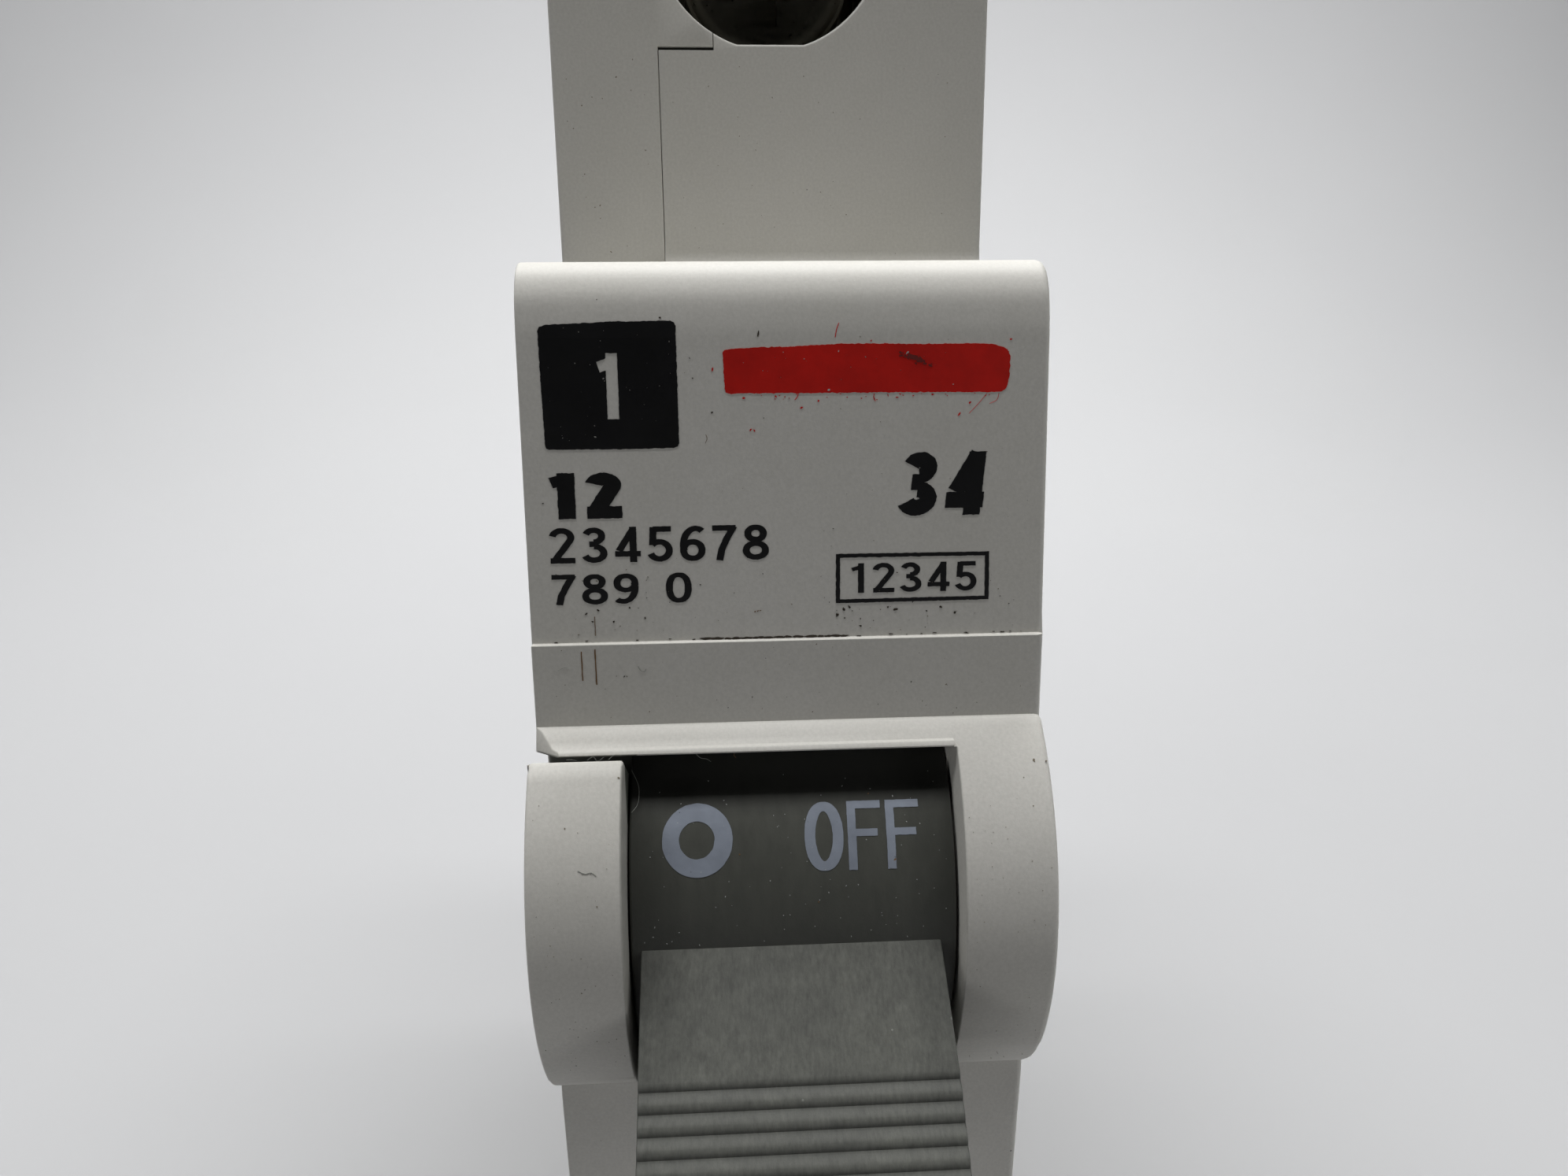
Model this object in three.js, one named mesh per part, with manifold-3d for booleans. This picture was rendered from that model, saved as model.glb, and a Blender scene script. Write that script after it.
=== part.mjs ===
// One-pole miniature circuit breaker for a 35 mm top-hat rail, one module wide.
// Millimetres. X is the width (right as seen from the front), +Y points back to the rail,
// +Z is up. The origin is the centre of the rail seat, in the plane of the rail's front face.
import * as THREE from 'three';
import { mergeVertices } from 'three/addons/utils/BufferGeometryUtils.js';
import Module from 'manifold-3d';

const wasm = await Module();
wasm.setup();

// ---------- driving dimensions ----------
const W = 8.75;              // half width of one module
const H = 42;                // half height of the body
const SHOULDER = -44;        // Y of the shoulders
const NOSE = 22.5;           // half height of the nose
const REAR = 5.5;            // Y of the rear feet, behind the rail plane
const RAIL = 17.8;           // upper edge of the rail seat
const RAIL_LOW = -18.6;      // lower edge of the rail seat
const PAD = 15.9;            // half height of the flat pad that the rail bears on
const RELIEF = -0.3;         // Y of the relieved strips above and below the pad
const SEAM = -4.5;           // X of the joint between the two shells
const GAP = 0.12;            // width of the joint
const WALL = 1.5;            // side wall
const PY = -49.6, PZ = -0.25;    // toggle axis
const BARREL = 8.0;          // toggle barrel radius
const CHEEK_L = 9.3, CHEEK_R = 8.75;   // cheek radii
const WIN = 5.55;            // half width of the toggle window
const LIP_Z = 6.35;          // underside of the lip above the toggle
const WIN_LOW = -6.5;        // lower edge of the window
const TZ = 36;               // height of the terminal screws
const HOLE_R = 4.6;          // screw access hole
const CRANK = 5.2;           // toggle crank radius
const ARM = 9.6;             // carrier crank radius
const CY = -30.4, CZ = 8.5;  // contact carrier axis
const SCREW_R = 2.4;         // terminal screw shank
const CAGE_TRAVEL = 4.0;     // rise of the terminal cage
const RIVETS = [[-47.6, 17.4], [-47.6, -17.4], [-40.5, 27.5], [-40.5, -27.5], [-5.2, 25.2], [-5.2, -25.2]];

// ---------- small geometry kit ----------
function clean(g) {
  g.deleteAttribute('normal');
  if (g.attributes.uv) g.deleteAttribute('uv');
  return mergeVertices(g, 1e-4);
}
function solid(g) {
  const c = clean(g);
  return new wasm.Manifold(new wasm.Mesh({
    numProp: 3,
    vertProperties: new Float32Array(c.attributes.position.array),
    triVerts: new Uint32Array(c.index.array),
  }));
}
function geometry(m) {
  const mesh = m.getMesh();
  const g = new THREE.BufferGeometry();
  g.setAttribute('position', new THREE.BufferAttribute(new Float32Array(mesh.vertProperties), 3));
  g.setIndex(new THREE.BufferAttribute(new Uint32Array(mesh.triVerts), 1));
  const flat = g.toNonIndexed();
  flat.computeVertexNormals();
  return flat;
}
const fromX = new THREE.Matrix4().set(0, 0, 1, 0, 1, 0, 0, 0, 0, 1, 0, 0, 0, 0, 0, 1); // shape (y, z) extruded along x
const fromY = new THREE.Matrix4().set(0, 1, 0, 0, 0, 0, 1, 0, 1, 0, 0, 0, 0, 0, 0, 1); // shape (z, x) extruded along y
function outline(points) {
  return new THREE.Shape(points.map(p => new THREE.Vector2(p[0], p[1])));
}
// prism with outline in (y, z) between x0 and x1
function prismX(points, x0, x1) {
  const g = new THREE.ExtrudeGeometry(outline(points), { depth: x1 - x0, bevelEnabled: false });
  g.translate(0, 0, x0);
  g.applyMatrix4(fromX);
  return solid(g);
}
// prism with outline in (x, y) between z0 and z1
function prismZ(points, z0, z1) {
  const g = new THREE.ExtrudeGeometry(outline(points), { depth: z1 - z0, bevelEnabled: false });
  g.translate(0, 0, z0);
  return solid(g);
}
function box(x0, x1, y0, y1, z0, z1) {
  const g = new THREE.BoxGeometry(x1 - x0, y1 - y0, z1 - z0);
  g.translate((x0 + x1) / 2, (y0 + y1) / 2, (z0 + z1) / 2);
  return solid(g);
}
function circle(cy, cz, r, n, from = 0, to = 2 * Math.PI) {
  const pts = [];
  const full = Math.abs(to - from - 2 * Math.PI) < 1e-9;
  const steps = full ? n : n + 1;
  for (let i = 0; i < steps; i++) {
    const a = from + (to - from) * i / n;
    pts.push([cy + r * Math.cos(a), cz + r * Math.sin(a)]);
  }
  return pts;
}
const cylX = (cy, cz, r, x0, x1, n = 24) => prismX(circle(cy, cz, r, n), x0, x1);
const cylZ = (cx, cy, r, z0, z1, n = 24) => prismZ(circle(cx, cy, r, n), z0, z1);
function cylY(cx, cz, r, y0, y1, n = 24) {
  const g = new THREE.ExtrudeGeometry(outline(circle(cz, cx, r, n)), { depth: y1 - y0, bevelEnabled: false });
  g.translate(0, 0, y0);
  g.applyMatrix4(fromY);
  return solid(g);
}
// turned part: profile [[radius, height], ...] about an axis through (a, b)
function turned(profile, axis, a, b, n = 20) {
  const g = new THREE.LatheGeometry(profile.map(p => new THREE.Vector2(p[0], p[1])), n);
  if (axis === 'x') { g.rotateZ(-Math.PI / 2); g.translate(0, a, b); }
  if (axis === 'y') g.translate(a, 0, b);
  if (axis === 'z') { g.rotateX(Math.PI / 2); g.translate(a, b, 0); }
  return solid(g);
}
// round bar or wire along a list of points, or along a curve
class Coil extends THREE.Curve {
  constructor(o) { super(); this.o = o; }
  getPoint(t, target = new THREE.Vector3()) {
    const { centre, axis, r, turns, length, lead = 0, phase = 0 } = this.o;
    const a = phase + 2 * Math.PI * turns * t;
    const h = length * t;
    const rr = r + lead * 0;
    const u = rr * Math.cos(a), v = rr * Math.sin(a);
    if (axis === 'z') target.set(centre[0] + u, centre[1] + v, centre[2] + h);
    else if (axis === 'x') target.set(centre[0] + h, centre[1] + u, centre[2] + v);
    else target.set(centre[0] + u, centre[1] + h, centre[2] + v);
    return target;
  }
}
function wire(curve, r, steps, sides = 8) {
  const ring = outline(circle(0, 0, r, sides));
  return solid(new THREE.ExtrudeGeometry(ring, { steps, bevelEnabled: false, extrudePath: curve }));
}
function bend(points, radius = 0.9) {
  // straight runs joined by short curved corners
  const path = new THREE.CurvePath();
  const v = points.map(p => new THREE.Vector3(...p));
  let start = v[0].clone();
  for (let i = 1; i < v.length - 1; i++) {
    const inDir = v[i].clone().sub(v[i - 1]).normalize();
    const outDir = v[i + 1].clone().sub(v[i]).normalize();
    const a = v[i].clone().addScaledVector(inDir, -radius);
    const b = v[i].clone().addScaledVector(outDir, radius);
    path.add(new THREE.LineCurve3(start, a));
    path.add(new THREE.QuadraticBezierCurve3(a, v[i].clone(), b));
    start = b;
  }
  path.add(new THREE.LineCurve3(start, v[v.length - 1]));
  return path;
}
const rel = (pts, cy, cz) => pts.map(p => [cy + p[0], cz + p[1]]);
const turn = ([y, z], deg) => {           // turn about +X
  const a = deg * Math.PI / 180;
  return [y * Math.cos(a) - z * Math.sin(a), y * Math.sin(a) + z * Math.cos(a)];
};

// ---------- materials ----------
const plastic = new THREE.MeshStandardMaterial({ color: 0xcac8c0, roughness: 0.62, metalness: 0 });
const plasticDark = new THREE.MeshStandardMaterial({ color: 0x4c4d4a, roughness: 0.55, metalness: 0 });
const plasticBlack = new THREE.MeshStandardMaterial({ color: 0x1e1e1f, roughness: 0.55, metalness: 0 });
const plasticTan = new THREE.MeshStandardMaterial({ color: 0x9b7a52, roughness: 0.6, metalness: 0 });
const steel = new THREE.MeshStandardMaterial({ color: 0xa9abad, roughness: 0.4, metalness: 1 });
const zinc = new THREE.MeshStandardMaterial({ color: 0xb4b2a4, roughness: 0.35, metalness: 1 });
const copper = new THREE.MeshStandardMaterial({ color: 0xb87648, roughness: 0.35, metalness: 1 });
const silver = new THREE.MeshStandardMaterial({ color: 0xd8d6d0, roughness: 0.3, metalness: 1 });
const bimetal = new THREE.MeshStandardMaterial({ color: 0x8c8880, roughness: 0.4, metalness: 1 });
const fibre = new THREE.MeshStandardMaterial({ color: 0xb3a58e, roughness: 0.8, metalness: 0 });

const group = new THREE.Group();
function add(name, m, material) {
  const mesh = new THREE.Mesh(geometry(m), material);
  mesh.name = name;
  group.add(mesh);
  return mesh;
}

// ---------- the two shells ----------
// outer side profile: body, shoulders, nose, rail seat with its fixed hook
const body = [
  [SHOULDER, H], [SHOULDER, NOSE],
  [-52.5, NOSE], [-53.05, 22.4], [-53.5, 22.1], [-53.82, 21.6], [-54.02, 21.0], [-54.17, 20.0],
  [-54.83, 10.7], [-54.87, 10.0], [-55.03, 9.98], [-55.1, 7.1],
  [-55.12, -7.4], [-54.17, -20.0], [-54.02, -21.0], [-53.82, -21.6], [-53.5, -22.1], [-53.05, -22.4], [-52.5, -NOSE],
  [SHOULDER, -NOSE], [SHOULDER, -H], [REAR, -H], [REAR, RAIL_LOW], [RELIEF, RAIL_LOW],
  [RELIEF, -PAD], [0, -PAD], [0, PAD], [RELIEF, PAD], [RELIEF, RAIL], [1.35, RAIL], [1.35, 16.2], [3.0, 16.2], [REAR, 18.8], [REAR, H],
];
let outer = prismX(body, -W, W);
// lip over the toggle, with its end cut back at the left
let lip = prismX([[-54.6, 7.6], [-55.1, 7.1], [-55.9, 6.45], [-55.9, LIP_Z], [-54.6, LIP_Z]], -W, 7.0);
lip = lip.subtract(prismZ([[-W - 1, -57], [-8.16, -57], [-8.16, -55.9], [-W, -55.2], [-W - 1, -54.3]], 5, 9));
outer = outer.add(lip);
// right cheek
const front = box(-20, 20, -70, -53.5, -20, 20);
outer = outer.add(cylX(PY, PZ, CHEEK_R, WIN, W, 48).intersect(front));
// left cheek, which belongs to the cover
let leftCheek = cylX(PY, PZ, CHEEK_L, -W, -WIN, 48).intersect(box(-20, 20, -70, -52.0, -7.5, 6.2));

// inner room for the mechanism
const room = [
  [-42.4, 29.4], [-42.4, 20.9], [-53.3, 20.9], [-53.3, -20.9], [-42.4, -20.9], [-42.4, -29.4],
  [-1.6, -29.4], [-1.6, 19.4], [3.9, 19.4], [3.9, 29.4],
];
const RX = W - WALL;
let hollow = prismX(room, -RX, RX);
for (const s of [1, -1]) {
  const z = (a, b) => s > 0 ? [a, b] : [-b, -a];
  const [za, zb] = z(30.9, 40.5);
  hollow = hollow.add(box(-5.3, 5.3, -41, -14.6, za, zb));                 // terminal room
  hollow = hollow.add(box(-RX, RX, -13, s > 0 ? 3.9 : -0.6, za, zb));      // empty room behind it
  const [zc, zd] = z(29.3, 31.0);
  hollow = hollow.add(box(-3.3, 3.3, -26.4, -24.4, zc, zd));               // slot for the tongue
  hollow = hollow.add(cylY(0, s * TZ, HOLE_R, -45, -40.9, 32));            // screw access
  const [ze, zf] = z(40.3, 43);
  hollow = hollow.add(box(-4.3, 4.3, -30.6, -17.4, ze, zf));               // wire entry
}
// toggle window and the room for the barrel
hollow = hollow.add(box(-WIN, WIN, -62, -50, WIN_LOW, LIP_Z));
hollow = hollow.add(cylX(PY, PZ, BARREL + 0.45, -WIN, WIN, 36));
// channel for the rail clip
hollow = hollow.add(box(-4.9, 4.9, 1.0, 3.8, -43, -18));
hollow = hollow.add(box(-3.6, 3.6, 3.7, 7, -43, -18));

// bosses: material that stays inside the hollow
let bosses = cylX(PY, PZ, 3.2, 5.75, RX + 0.2, 24).add(cylX(PY, PZ, 3.2, -RX - 0.2, -5.75, 24));
for (const [y, z] of RIVETS) bosses = bosses.add(cylX(y, z, 2.6, -RX - 0.2, RX + 0.2, 14));
bosses = bosses.add(cylX(CY, CZ, 2.4, 3.7, RX + 0.2, 20)).add(cylX(CY, CZ, 2.4, -RX - 0.2, -6.0, 20));
bosses = bosses.add(cylX(-25.2, -9.6, 1.1, 0.9, RX + 0.2, 16));              // post for the contact spring
bosses = bosses.add(box(-1.2, 1.2, 0.8, 3.3, -37.4, -36.0));                 // stop for the clip spring
hollow = hollow.subtract(bosses);

// holes for pins and rivets
let holes = cylX(PY, PZ, 1.55, -8.1, 8.1, 24).add(cylX(CY, CZ, 1.35, -8.0, 8.0, 20));
for (const [y, z] of RIVETS) {
  holes = holes.add(cylX(y, z, 1.6, -10, 10, 10));
  holes = holes.add(cylX(y, z, 2.9, W - 1.0, 10, 16)).add(cylX(y, z, 2.9, -10, -W + 1.0, 16));
}

// what belongs to the cover: all left of the joint but the front plate of the nose
function coverZone(g) {
  let zone = box(-20, SEAM + g, -70, 20, -60, 60);
  zone = zone.subtract(box(-30, 30, -70, -52.6 - g, -30, 30));
  // step to the screw hole
  for (const s of [1, -1]) zone = zone.add(s > 0 ? box(-20, -2.3 + g, -50, -40.9, 31.5 - g, 60) : box(-20, -2.3 + g, -50, -40.9, -60, -31.5 + g));
  // outer lip of the clip channel
  zone = zone.add(box(-20, -3.4, 3.7 - g, 20, -60, -17));
  // cheek and its root
  zone = zone.add(box(-20, -WIN + g, -70, -50, -7.5 - g, 6.2 + g));
  return zone;
}
const shell = outer.subtract(hollow).subtract(holes);
const cheekGap = box(-20, -WIN + 0.1, -70, -50, -7.62, 6.35);
let base = shell.subtract(coverZone(GAP)).subtract(cheekGap);
let cover = outer.add(leftCheek).subtract(hollow).subtract(holes).intersect(coverZone(0));
add('housing_base', base, plastic);
add('housing_cover', cover, plastic);

// ---------- rivets ----------
RIVETS.forEach(([y, z], i) => {
  add('rivet_' + (i + 1), turned([
    [0, -8.55], [2.0, -8.55], [2.6, -8.25], [2.6, -7.85], [1.35, -7.8],
    [1.35, 7.8], [2.6, 7.85], [2.6, 8.25], [2.0, 8.55], [0, 8.55],
  ], 'x', y, z, 12), zinc);
});

// ---------- toggle ----------
const rad = Math.PI / 180;
const barrel = [];
for (let i = 0; i <= 42; i++) {                 // front surface, from below round to above
  const a = (-105 + 205 * i / 42) * rad;
  barrel.push([-BARREL * Math.cos(a), BARREL * Math.sin(a)]);
}
for (let i = 0; i <= 14; i++) {                 // smaller hub behind
  const a = (100 + 155 * i / 14) * rad;
  barrel.push([-5.6 * Math.cos(a), 5.6 * Math.sin(a)]);
}
let toggle = prismX(rel(barrel, PY, PZ), -5.35, 5.35);
// handle: smooth root, then ridges across the upper face
const hd = [[0, 0.2]];
const us = [Math.cos(49 * rad), -Math.sin(49 * rad)];   // along the upper face, (outwards, up)
const un = [Math.sin(49 * rad), Math.cos(49 * rad)];    // out of the upper face
const onFace = (s, n) => [-(7.99 + us[0] * s + un[0] * n), 0.3 + us[1] * s + un[1] * n];
hd.push(onFace(0, 0));
for (let k = 0; k < 8; k++) {
  const s = 4.0 + 0.62 * k;
  hd.push(onFace(s, 0), onFace(s + 0.16, -0.2), onFace(s + 0.32, -0.2), onFace(s + 0.44, 0));
}
hd.push(onFace(9.0, 0), [-13.85, -7.6], [-13.2, -8.6], [-12.2, -9.0], [-11.2, -8.65], [-5.6, -5.7]);
toggle = toggle.add(prismX(rel(hd, PY, PZ), -5.2, 5.2));
toggle = toggle.subtract(prismX(rel([
  [-1.5, 5.0], [-1.0, 4.2], [-0.35, 4.05], [9, 0.7], [9, 12], [6, 10.8], [-0.5, 6.5], [-1.3, 6.0],
], PY, PZ), -1.3, 1.3));                                 // slot for the link
const K0 = turn([CRANK * Math.sin(20 * rad), CRANK * Math.cos(20 * rad)], 24);
toggle = toggle.subtract(cylX(PY + K0[0], PZ + K0[1], 0.8, 0, 4.4, 16));   // hole for the link
toggle = toggle.subtract(cylX(PY, PZ, 1.62, -7, 7, 24));                   // axle hole
toggle = toggle.subtract(cylX(PY, PZ, 3.1, -6, -3.2, 24));                 // recess for the spring
toggle = toggle.subtract(box(-6, -3.2, PY, PY + 9, PZ - 3.0, PZ + 3.0));
add('toggle', toggle, plasticDark);
add('toggle_pin', turned([[0, -8.0], [1.3, -8.0], [1.5, -7.8], [1.5, 7.8], [1.3, 8.0], [0, 8.0]], 'x', PY, PZ, 24), steel);
// torsion spring on the axle: coil with two straight legs
{
  const coil = new Coil({ centre: [-5.0, PY, PZ], axis: 'x', r: 2.3, turns: 2.5, length: 1.5, phase: -Math.PI / 2 });
  const path = new THREE.CurvePath();
  const p0 = coil.getPoint(0), p1 = coil.getPoint(1);
  path.add(new THREE.LineCurve3(new THREE.Vector3(p0.x, p0.y - 0.2, p0.z), p0));
  path.add(coil);
  path.add(new THREE.LineCurve3(p1, new THREE.Vector3(p1.x, p1.y + 5.2, p1.z)));
  const pts = [];
  pts.push([-5.0, PY + 5.4, PZ - 2.3], [-5.0, PY + 2.5, PZ - 2.3]);
  for (let i = 0; i <= 30; i++) { const p = coil.getPoint(i / 30); pts.push([p.x, p.y, p.z]); }
  pts.push([-3.5, PY + 2.5, PZ + 2.3], [-3.5, PY + 5.4, PZ + 2.3]);
  const curve = new THREE.CatmullRomCurve3(pts.map(p => new THREE.Vector3(...p)), false, 'centripetal');
  add('toggle_spring', wire(curve, 0.25, 52, 5), steel);
}

// ---------- link, carrier, contact arm ----------
const KY = PY + K0[0], KZ = PZ + K0[1];
const Lm = [-ARM * Math.sin(20 * rad), -ARM * Math.cos(20 * rad)];
const L0 = turn(Lm, -13);                                   // carrier crank at rest, relative to its axis
const LY = CY + L0[0], LZ = CZ + L0[1];
add('operating_link', wire(bend([[4.0, KY, KZ], [0, KY, KZ], [0, LY, LZ], [-5.2, LY, LZ]], 0.75), 0.62, 36, 8), steel);

{
  // carrier: hub with a crank plate that takes the link in a short slot
  const along = turn([Math.sin(20 * rad), Math.cos(20 * rad)], -13);   // from link pin to axis
  const side = [along[1], -along[0]];
  const P = (a, s) => [LY + along[0] * a + side[0] * s, LZ + along[1] * a + side[1] * s];
  let c = cylX(CY, CZ, 2.35, -3.4, 3.4, 24);
  c = c.add(prismX([P(-2.3, -1.5), P(-2.3, 1.5), P(-1.6, 2.2), P(8, 2.3), P(9.6, 2.2), P(9.6, -2.2), P(8, -2.3), P(-1.6, -2.2)], -3.4, -1.1));
  // seat for the contact arm
  const seatDir = turn([1, 0], -26), seatUp = turn([0, 1], -26);
  const S = (a, u) => [CY + seatDir[0] * a + seatUp[0] * u, CZ + seatDir[1] * a + seatUp[1] * u];
  c = c.add(prismX([S(0, -3.0), S(5.4, -2.6), S(5.4, 0.05), S(0, 0.05)], -2.6, 2.6));
  // front lug that carries the latch pin
  const T = [CY - 6.2, CZ - 0.4];
  c = c.add(prismX([[CY, CZ + 2.2], [T[0] + 0.4, T[1] + 1.7], [T[0] - 1.2, T[1] + 1.5], [T[0] - 1.9, T[1]], [T[0] - 1.2, T[1] - 1.7], [T[0] + 0.6, T[1] - 2.0], [CY, CZ - 2.2]], -3.4, -1.1));
  // link slot, opened towards the axis because the link keeps its direction
  c = c.subtract(prismX([P(-0.95, -0.35), P(-0.95, 0.35), P(-0.6, 0.9), P(1.5, 0.9), P(1.9, 0.45), P(1.9, -0.45), P(1.5, -0.9), P(-0.6, -0.9)], -4, 0));
  c = c.subtract(prismX([S(-1.9, 0.02), S(7, 0.02), S(7, 1.5), S(-1.9, 1.5)], -1.75, 1.75));   // groove for the arm
  c = c.subtract(cylX(CY, CZ, 1.32, -4, 4, 20));
  c = c.subtract(cylX(T[0], T[1], 0.72, -4, 0, 14));
  add('contact_carrier', c, plasticBlack);
  add('carrier_pin', turned([[0, -7.9], [1.2, -7.9], [1.25, -7.8], [1.25, 7.8], [1.2, 7.9], [0, 7.9]], 'x', CY, CZ, 20), steel);

  // copper arm, cranked over the axle, with the silver tip on top of its end
  let arm = prismX([S(1.75, 0.17), S(12.9, 0.17), S(13.3, 0.4), S(13.3, 1.1), S(12.9, 1.37), S(1.75, 1.37)], -1.6, 1.6);
  add('contact_arm', arm, copper);
  const tip = prismX([S(9.9, 1.40), S(13.1, 1.40), S(13.1, 2.0), S(12.7, 2.3), S(10.3, 2.3), S(9.9, 2.0)], -1.5, 1.5);
  add('moving_contact_tip', tip, silver);

  // latch pin and the three-armed trip lever on it
  add('latch_pin', turned([[0, -6.9], [0.6, -6.9], [0.6, -1.2], [0, -1.2]], 'x', T[0], T[1], 14), steel);
  let latch = cylX(T[0], T[1], 1.7, -5.4, -3.7, 20);
  latch = latch.add(prismX(rel([[-1.3, 0.8], [0.6, 3.9], [1.6, 4.5], [5.4, 4.5], [5.4, 3.8], [2.6, 3.7], [1.4, 0.4]], T[0], T[1]), -5.4, -3.7));
  latch = latch.add(prismX(rel([[2.6, 3.75], [2.6, 4.5], [5.4, 4.5], [5.4, 3.8]], T[0], T[1]), -4.2, 0.9));   // pad under the striker
  // hook that stands in front of the link's end
  latch = latch.add(prismX([[T[0] - 1.5, T[1] - 0.6], [T[0] + 1.0, T[1] - 1.2], [LY - 1.25, LZ + 2.2], [LY - 1.15, LZ - 1.2], [LY - 2.4, LZ - 1.6], [LY - 3.1, LZ + 0.4]], -5.4, -3.7));
  // tail that stands in front of the bimetal when the contacts are closed
  latch = latch.add(prismX([[LY - 2.9, LZ + 0.9], [LY - 1.5, LZ - 1.3], [LY - 3.4, LZ - 4.6], [LY - 4.8, LZ - 4.5], [LY - 4.9, LZ - 3.6]], -5.4, -3.7));
  latch = latch.subtract(cylX(T[0], T[1], 0.68, -7, 0, 14));
  add('latch_lever', latch, plasticTan);
  const coil = new Coil({ centre: [-6.55, T[0], T[1]], axis: 'x', r: 1.1, turns: 2, length: 0.75, phase: Math.PI });
  const pts = [[-6.55, T[0] - 1.1, T[1] - 3.0], [-6.55, T[0] - 1.1, T[1] - 1.4]];
  for (let i = 0; i <= 20; i++) { const p = coil.getPoint(i / 20); pts.push([p.x, p.y, p.z]); }
  pts.reverse();
  pts.unshift([-5.8, T[0] - 1.1, T[1] + 2.9], [-5.8, T[0] - 1.1, T[1] + 1.4]);
  pts.reverse();
  add('latch_spring', wire(new THREE.CatmullRomCurve3(pts.map(p => new THREE.Vector3(...p)), false, 'centripetal'), 0.17, 40, 5), steel);

  // opening spring under the arm
  const e = S(8.0, 0);
  const top = [0, e[0] - 0.4, e[1] - 0.7], low = [0, -25.2, -8.0];
  class Slant extends THREE.Curve {
    getPoint(t, v = new THREE.Vector3()) {
      const a = 2 * Math.PI * 6 * t, r = 1.35;
      const y = top[1] + (low[1] - top[1]) * t, z = top[2] + (low[2] - top[2]) * t;
      return v.set(r * Math.cos(a), y + r * Math.sin(a), z);
    }
  }
  add('contact_spring', wire(new Slant(), 0.22, 60, 5), steel);
}

// ---------- fixed contact and arc runners ----------
add('fixed_contact_plate', prismX([[-24.0, 13.0], [-24.0, 14.0], [-16.4, 14.0], [-2.0, 12.6], [-2.0, 11.7], [-15.6, 13.0]], -3.6, 3.6), copper);
add('fixed_contact_tip', prismX([[-20.9, 12.95], [-20.9, 12.3], [-20.5, 12.0], [-17.6, 12.0], [-17.2, 12.3], [-17.2, 12.95]], -1.7, 1.7), silver);
add('lower_arc_runner', prismX([[-2.0, -15.2], [-2.0, -16.2], [-19.0, -16.2], [-22.4, -13.0], [-22.4, -6.4], [-21.5, -6.4], [-21.5, -12.6], [-18.7, -15.2]], -2.6, 2.6), copper);

// ---------- arc chute ----------
for (let i = 0; i < 9; i++) {
  const z = -13.2 + 2.75 * i;
  add('arc_plate_' + (i + 1), prismZ([
    [-5.9, -2.6], [5.9, -2.6], [5.9, -17.0], [3.2, -17.0], [0.6, -10.4], [-0.6, -10.4], [-3.2, -17.0], [-5.9, -17.0],
  ], z, z + 1.0), steel);
}
add('chute_side_left', box(-6.95, -6.05, -17.2, -2.2, -14.4, 10.8), fibre);
add('chute_side_right', box(6.05, 6.95, -17.2, -2.2, -14.4, 10.8), fibre);

// ---------- magnetic trip ----------
const MY = -32.6;
add('coil_bobbin', turned([
  [2.45, 15.8], [5.2, 15.8], [5.2, 16.6], [3.1, 16.6], [3.1, 26.8], [5.2, 26.8], [5.2, 27.6], [2.45, 27.6], [2.45, 15.8],
], 'z', 0, MY, 24), plasticBlack);
{
  const coil = new Coil({ centre: [0, MY, 17.4], axis: 'z', r: 4.0, turns: 6, length: 8.6, phase: Math.PI / 2 });
  add('magnet_coil', wire(coil, 0.58, 72, 6), copper);
}
let yoke = box(-4.4, 4.4, -37.4, -26.0, 14.6, 15.6).add(box(-4.4, 4.4, -37.4, -26.0, 27.8, 28.8)).add(box(-4.4, 4.4, -27.0, -26.0, 14.6, 28.8));
yoke = yoke.subtract(cylZ(0, MY, 1.0, 14, 16, 16)).subtract(cylZ(0, MY, 2.5, 27, 29.5, 20));
add('magnet_yoke', yoke, steel);
add('fixed_core', turned([[0.85, 15.7], [2.3, 15.7], [2.3, 19.0], [0.85, 19.0], [0.85, 15.7]], 'z', 0, MY, 20), steel);
add('plunger', turned([[0, 22.4], [2.0, 22.4], [2.2, 22.6], [2.2, 28.8], [2.0, 29.0], [0, 29.0]], 'z', 0, MY, 20), steel);
add('striker_pin', turned([[0, 14.9], [0.45, 14.9], [0.62, 15.1], [0.62, 22.3], [0, 22.3]], 'z', 0, MY, 14), zinc);
add('plunger_spring', wire(new Coil({ centre: [0, MY, 19.3], axis: 'z', r: 1.35, turns: 4, length: 2.75 }), 0.2, 40, 5), steel);

// ---------- thermal trip ----------
add('lower_terminal_plate', box(-3.0, 3.0, -26.2, -24.7, -39.6, -27.2), copper);
add('upper_terminal_plate', box(-3.0, 3.0, -26.2, -24.7, 29.1, 39.6), copper);
add('bimetal_bracket', prismX([[-26.4, -27.2], [-26.4, -28.6], [-33.8, -28.6], [-33.8, -19.2], [-32.5, -19.2], [-32.5, -27.2]], -3.0, 3.0), steel);
add('bimetal_strip', prismX([[-32.2, -26.8], [-32.2, -5.4], [-31.5, -5.4], [-31.5, -26.8]], -5.2, -0.6), bimetal);
add('calibration_screw', turned([[0, -40.4], [2.0, -40.4], [2.0, -39.2], [1.3, -39.1], [1.3, -34.1], [0, -34.1]], 'y', 0, -21.2, 14), zinc);
{
  const pts = [[-0.9, -30.6, -9.6], [0.6, -30.4, -9.0], [1.6, -29.6, -8.4], [2.4, -27.2, -6.6], [3.2, -25.6, -4.0], [3.0, -24.2, -1.4], [2.0, -22.7, 0.6], [1.0, -21.9, 2.2]];
  add('flexible_braid', wire(new THREE.CatmullRomCurve3(pts.map(p => new THREE.Vector3(...p)), false, 'centripetal'), 0.7, 16, 7), copper);
}

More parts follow.
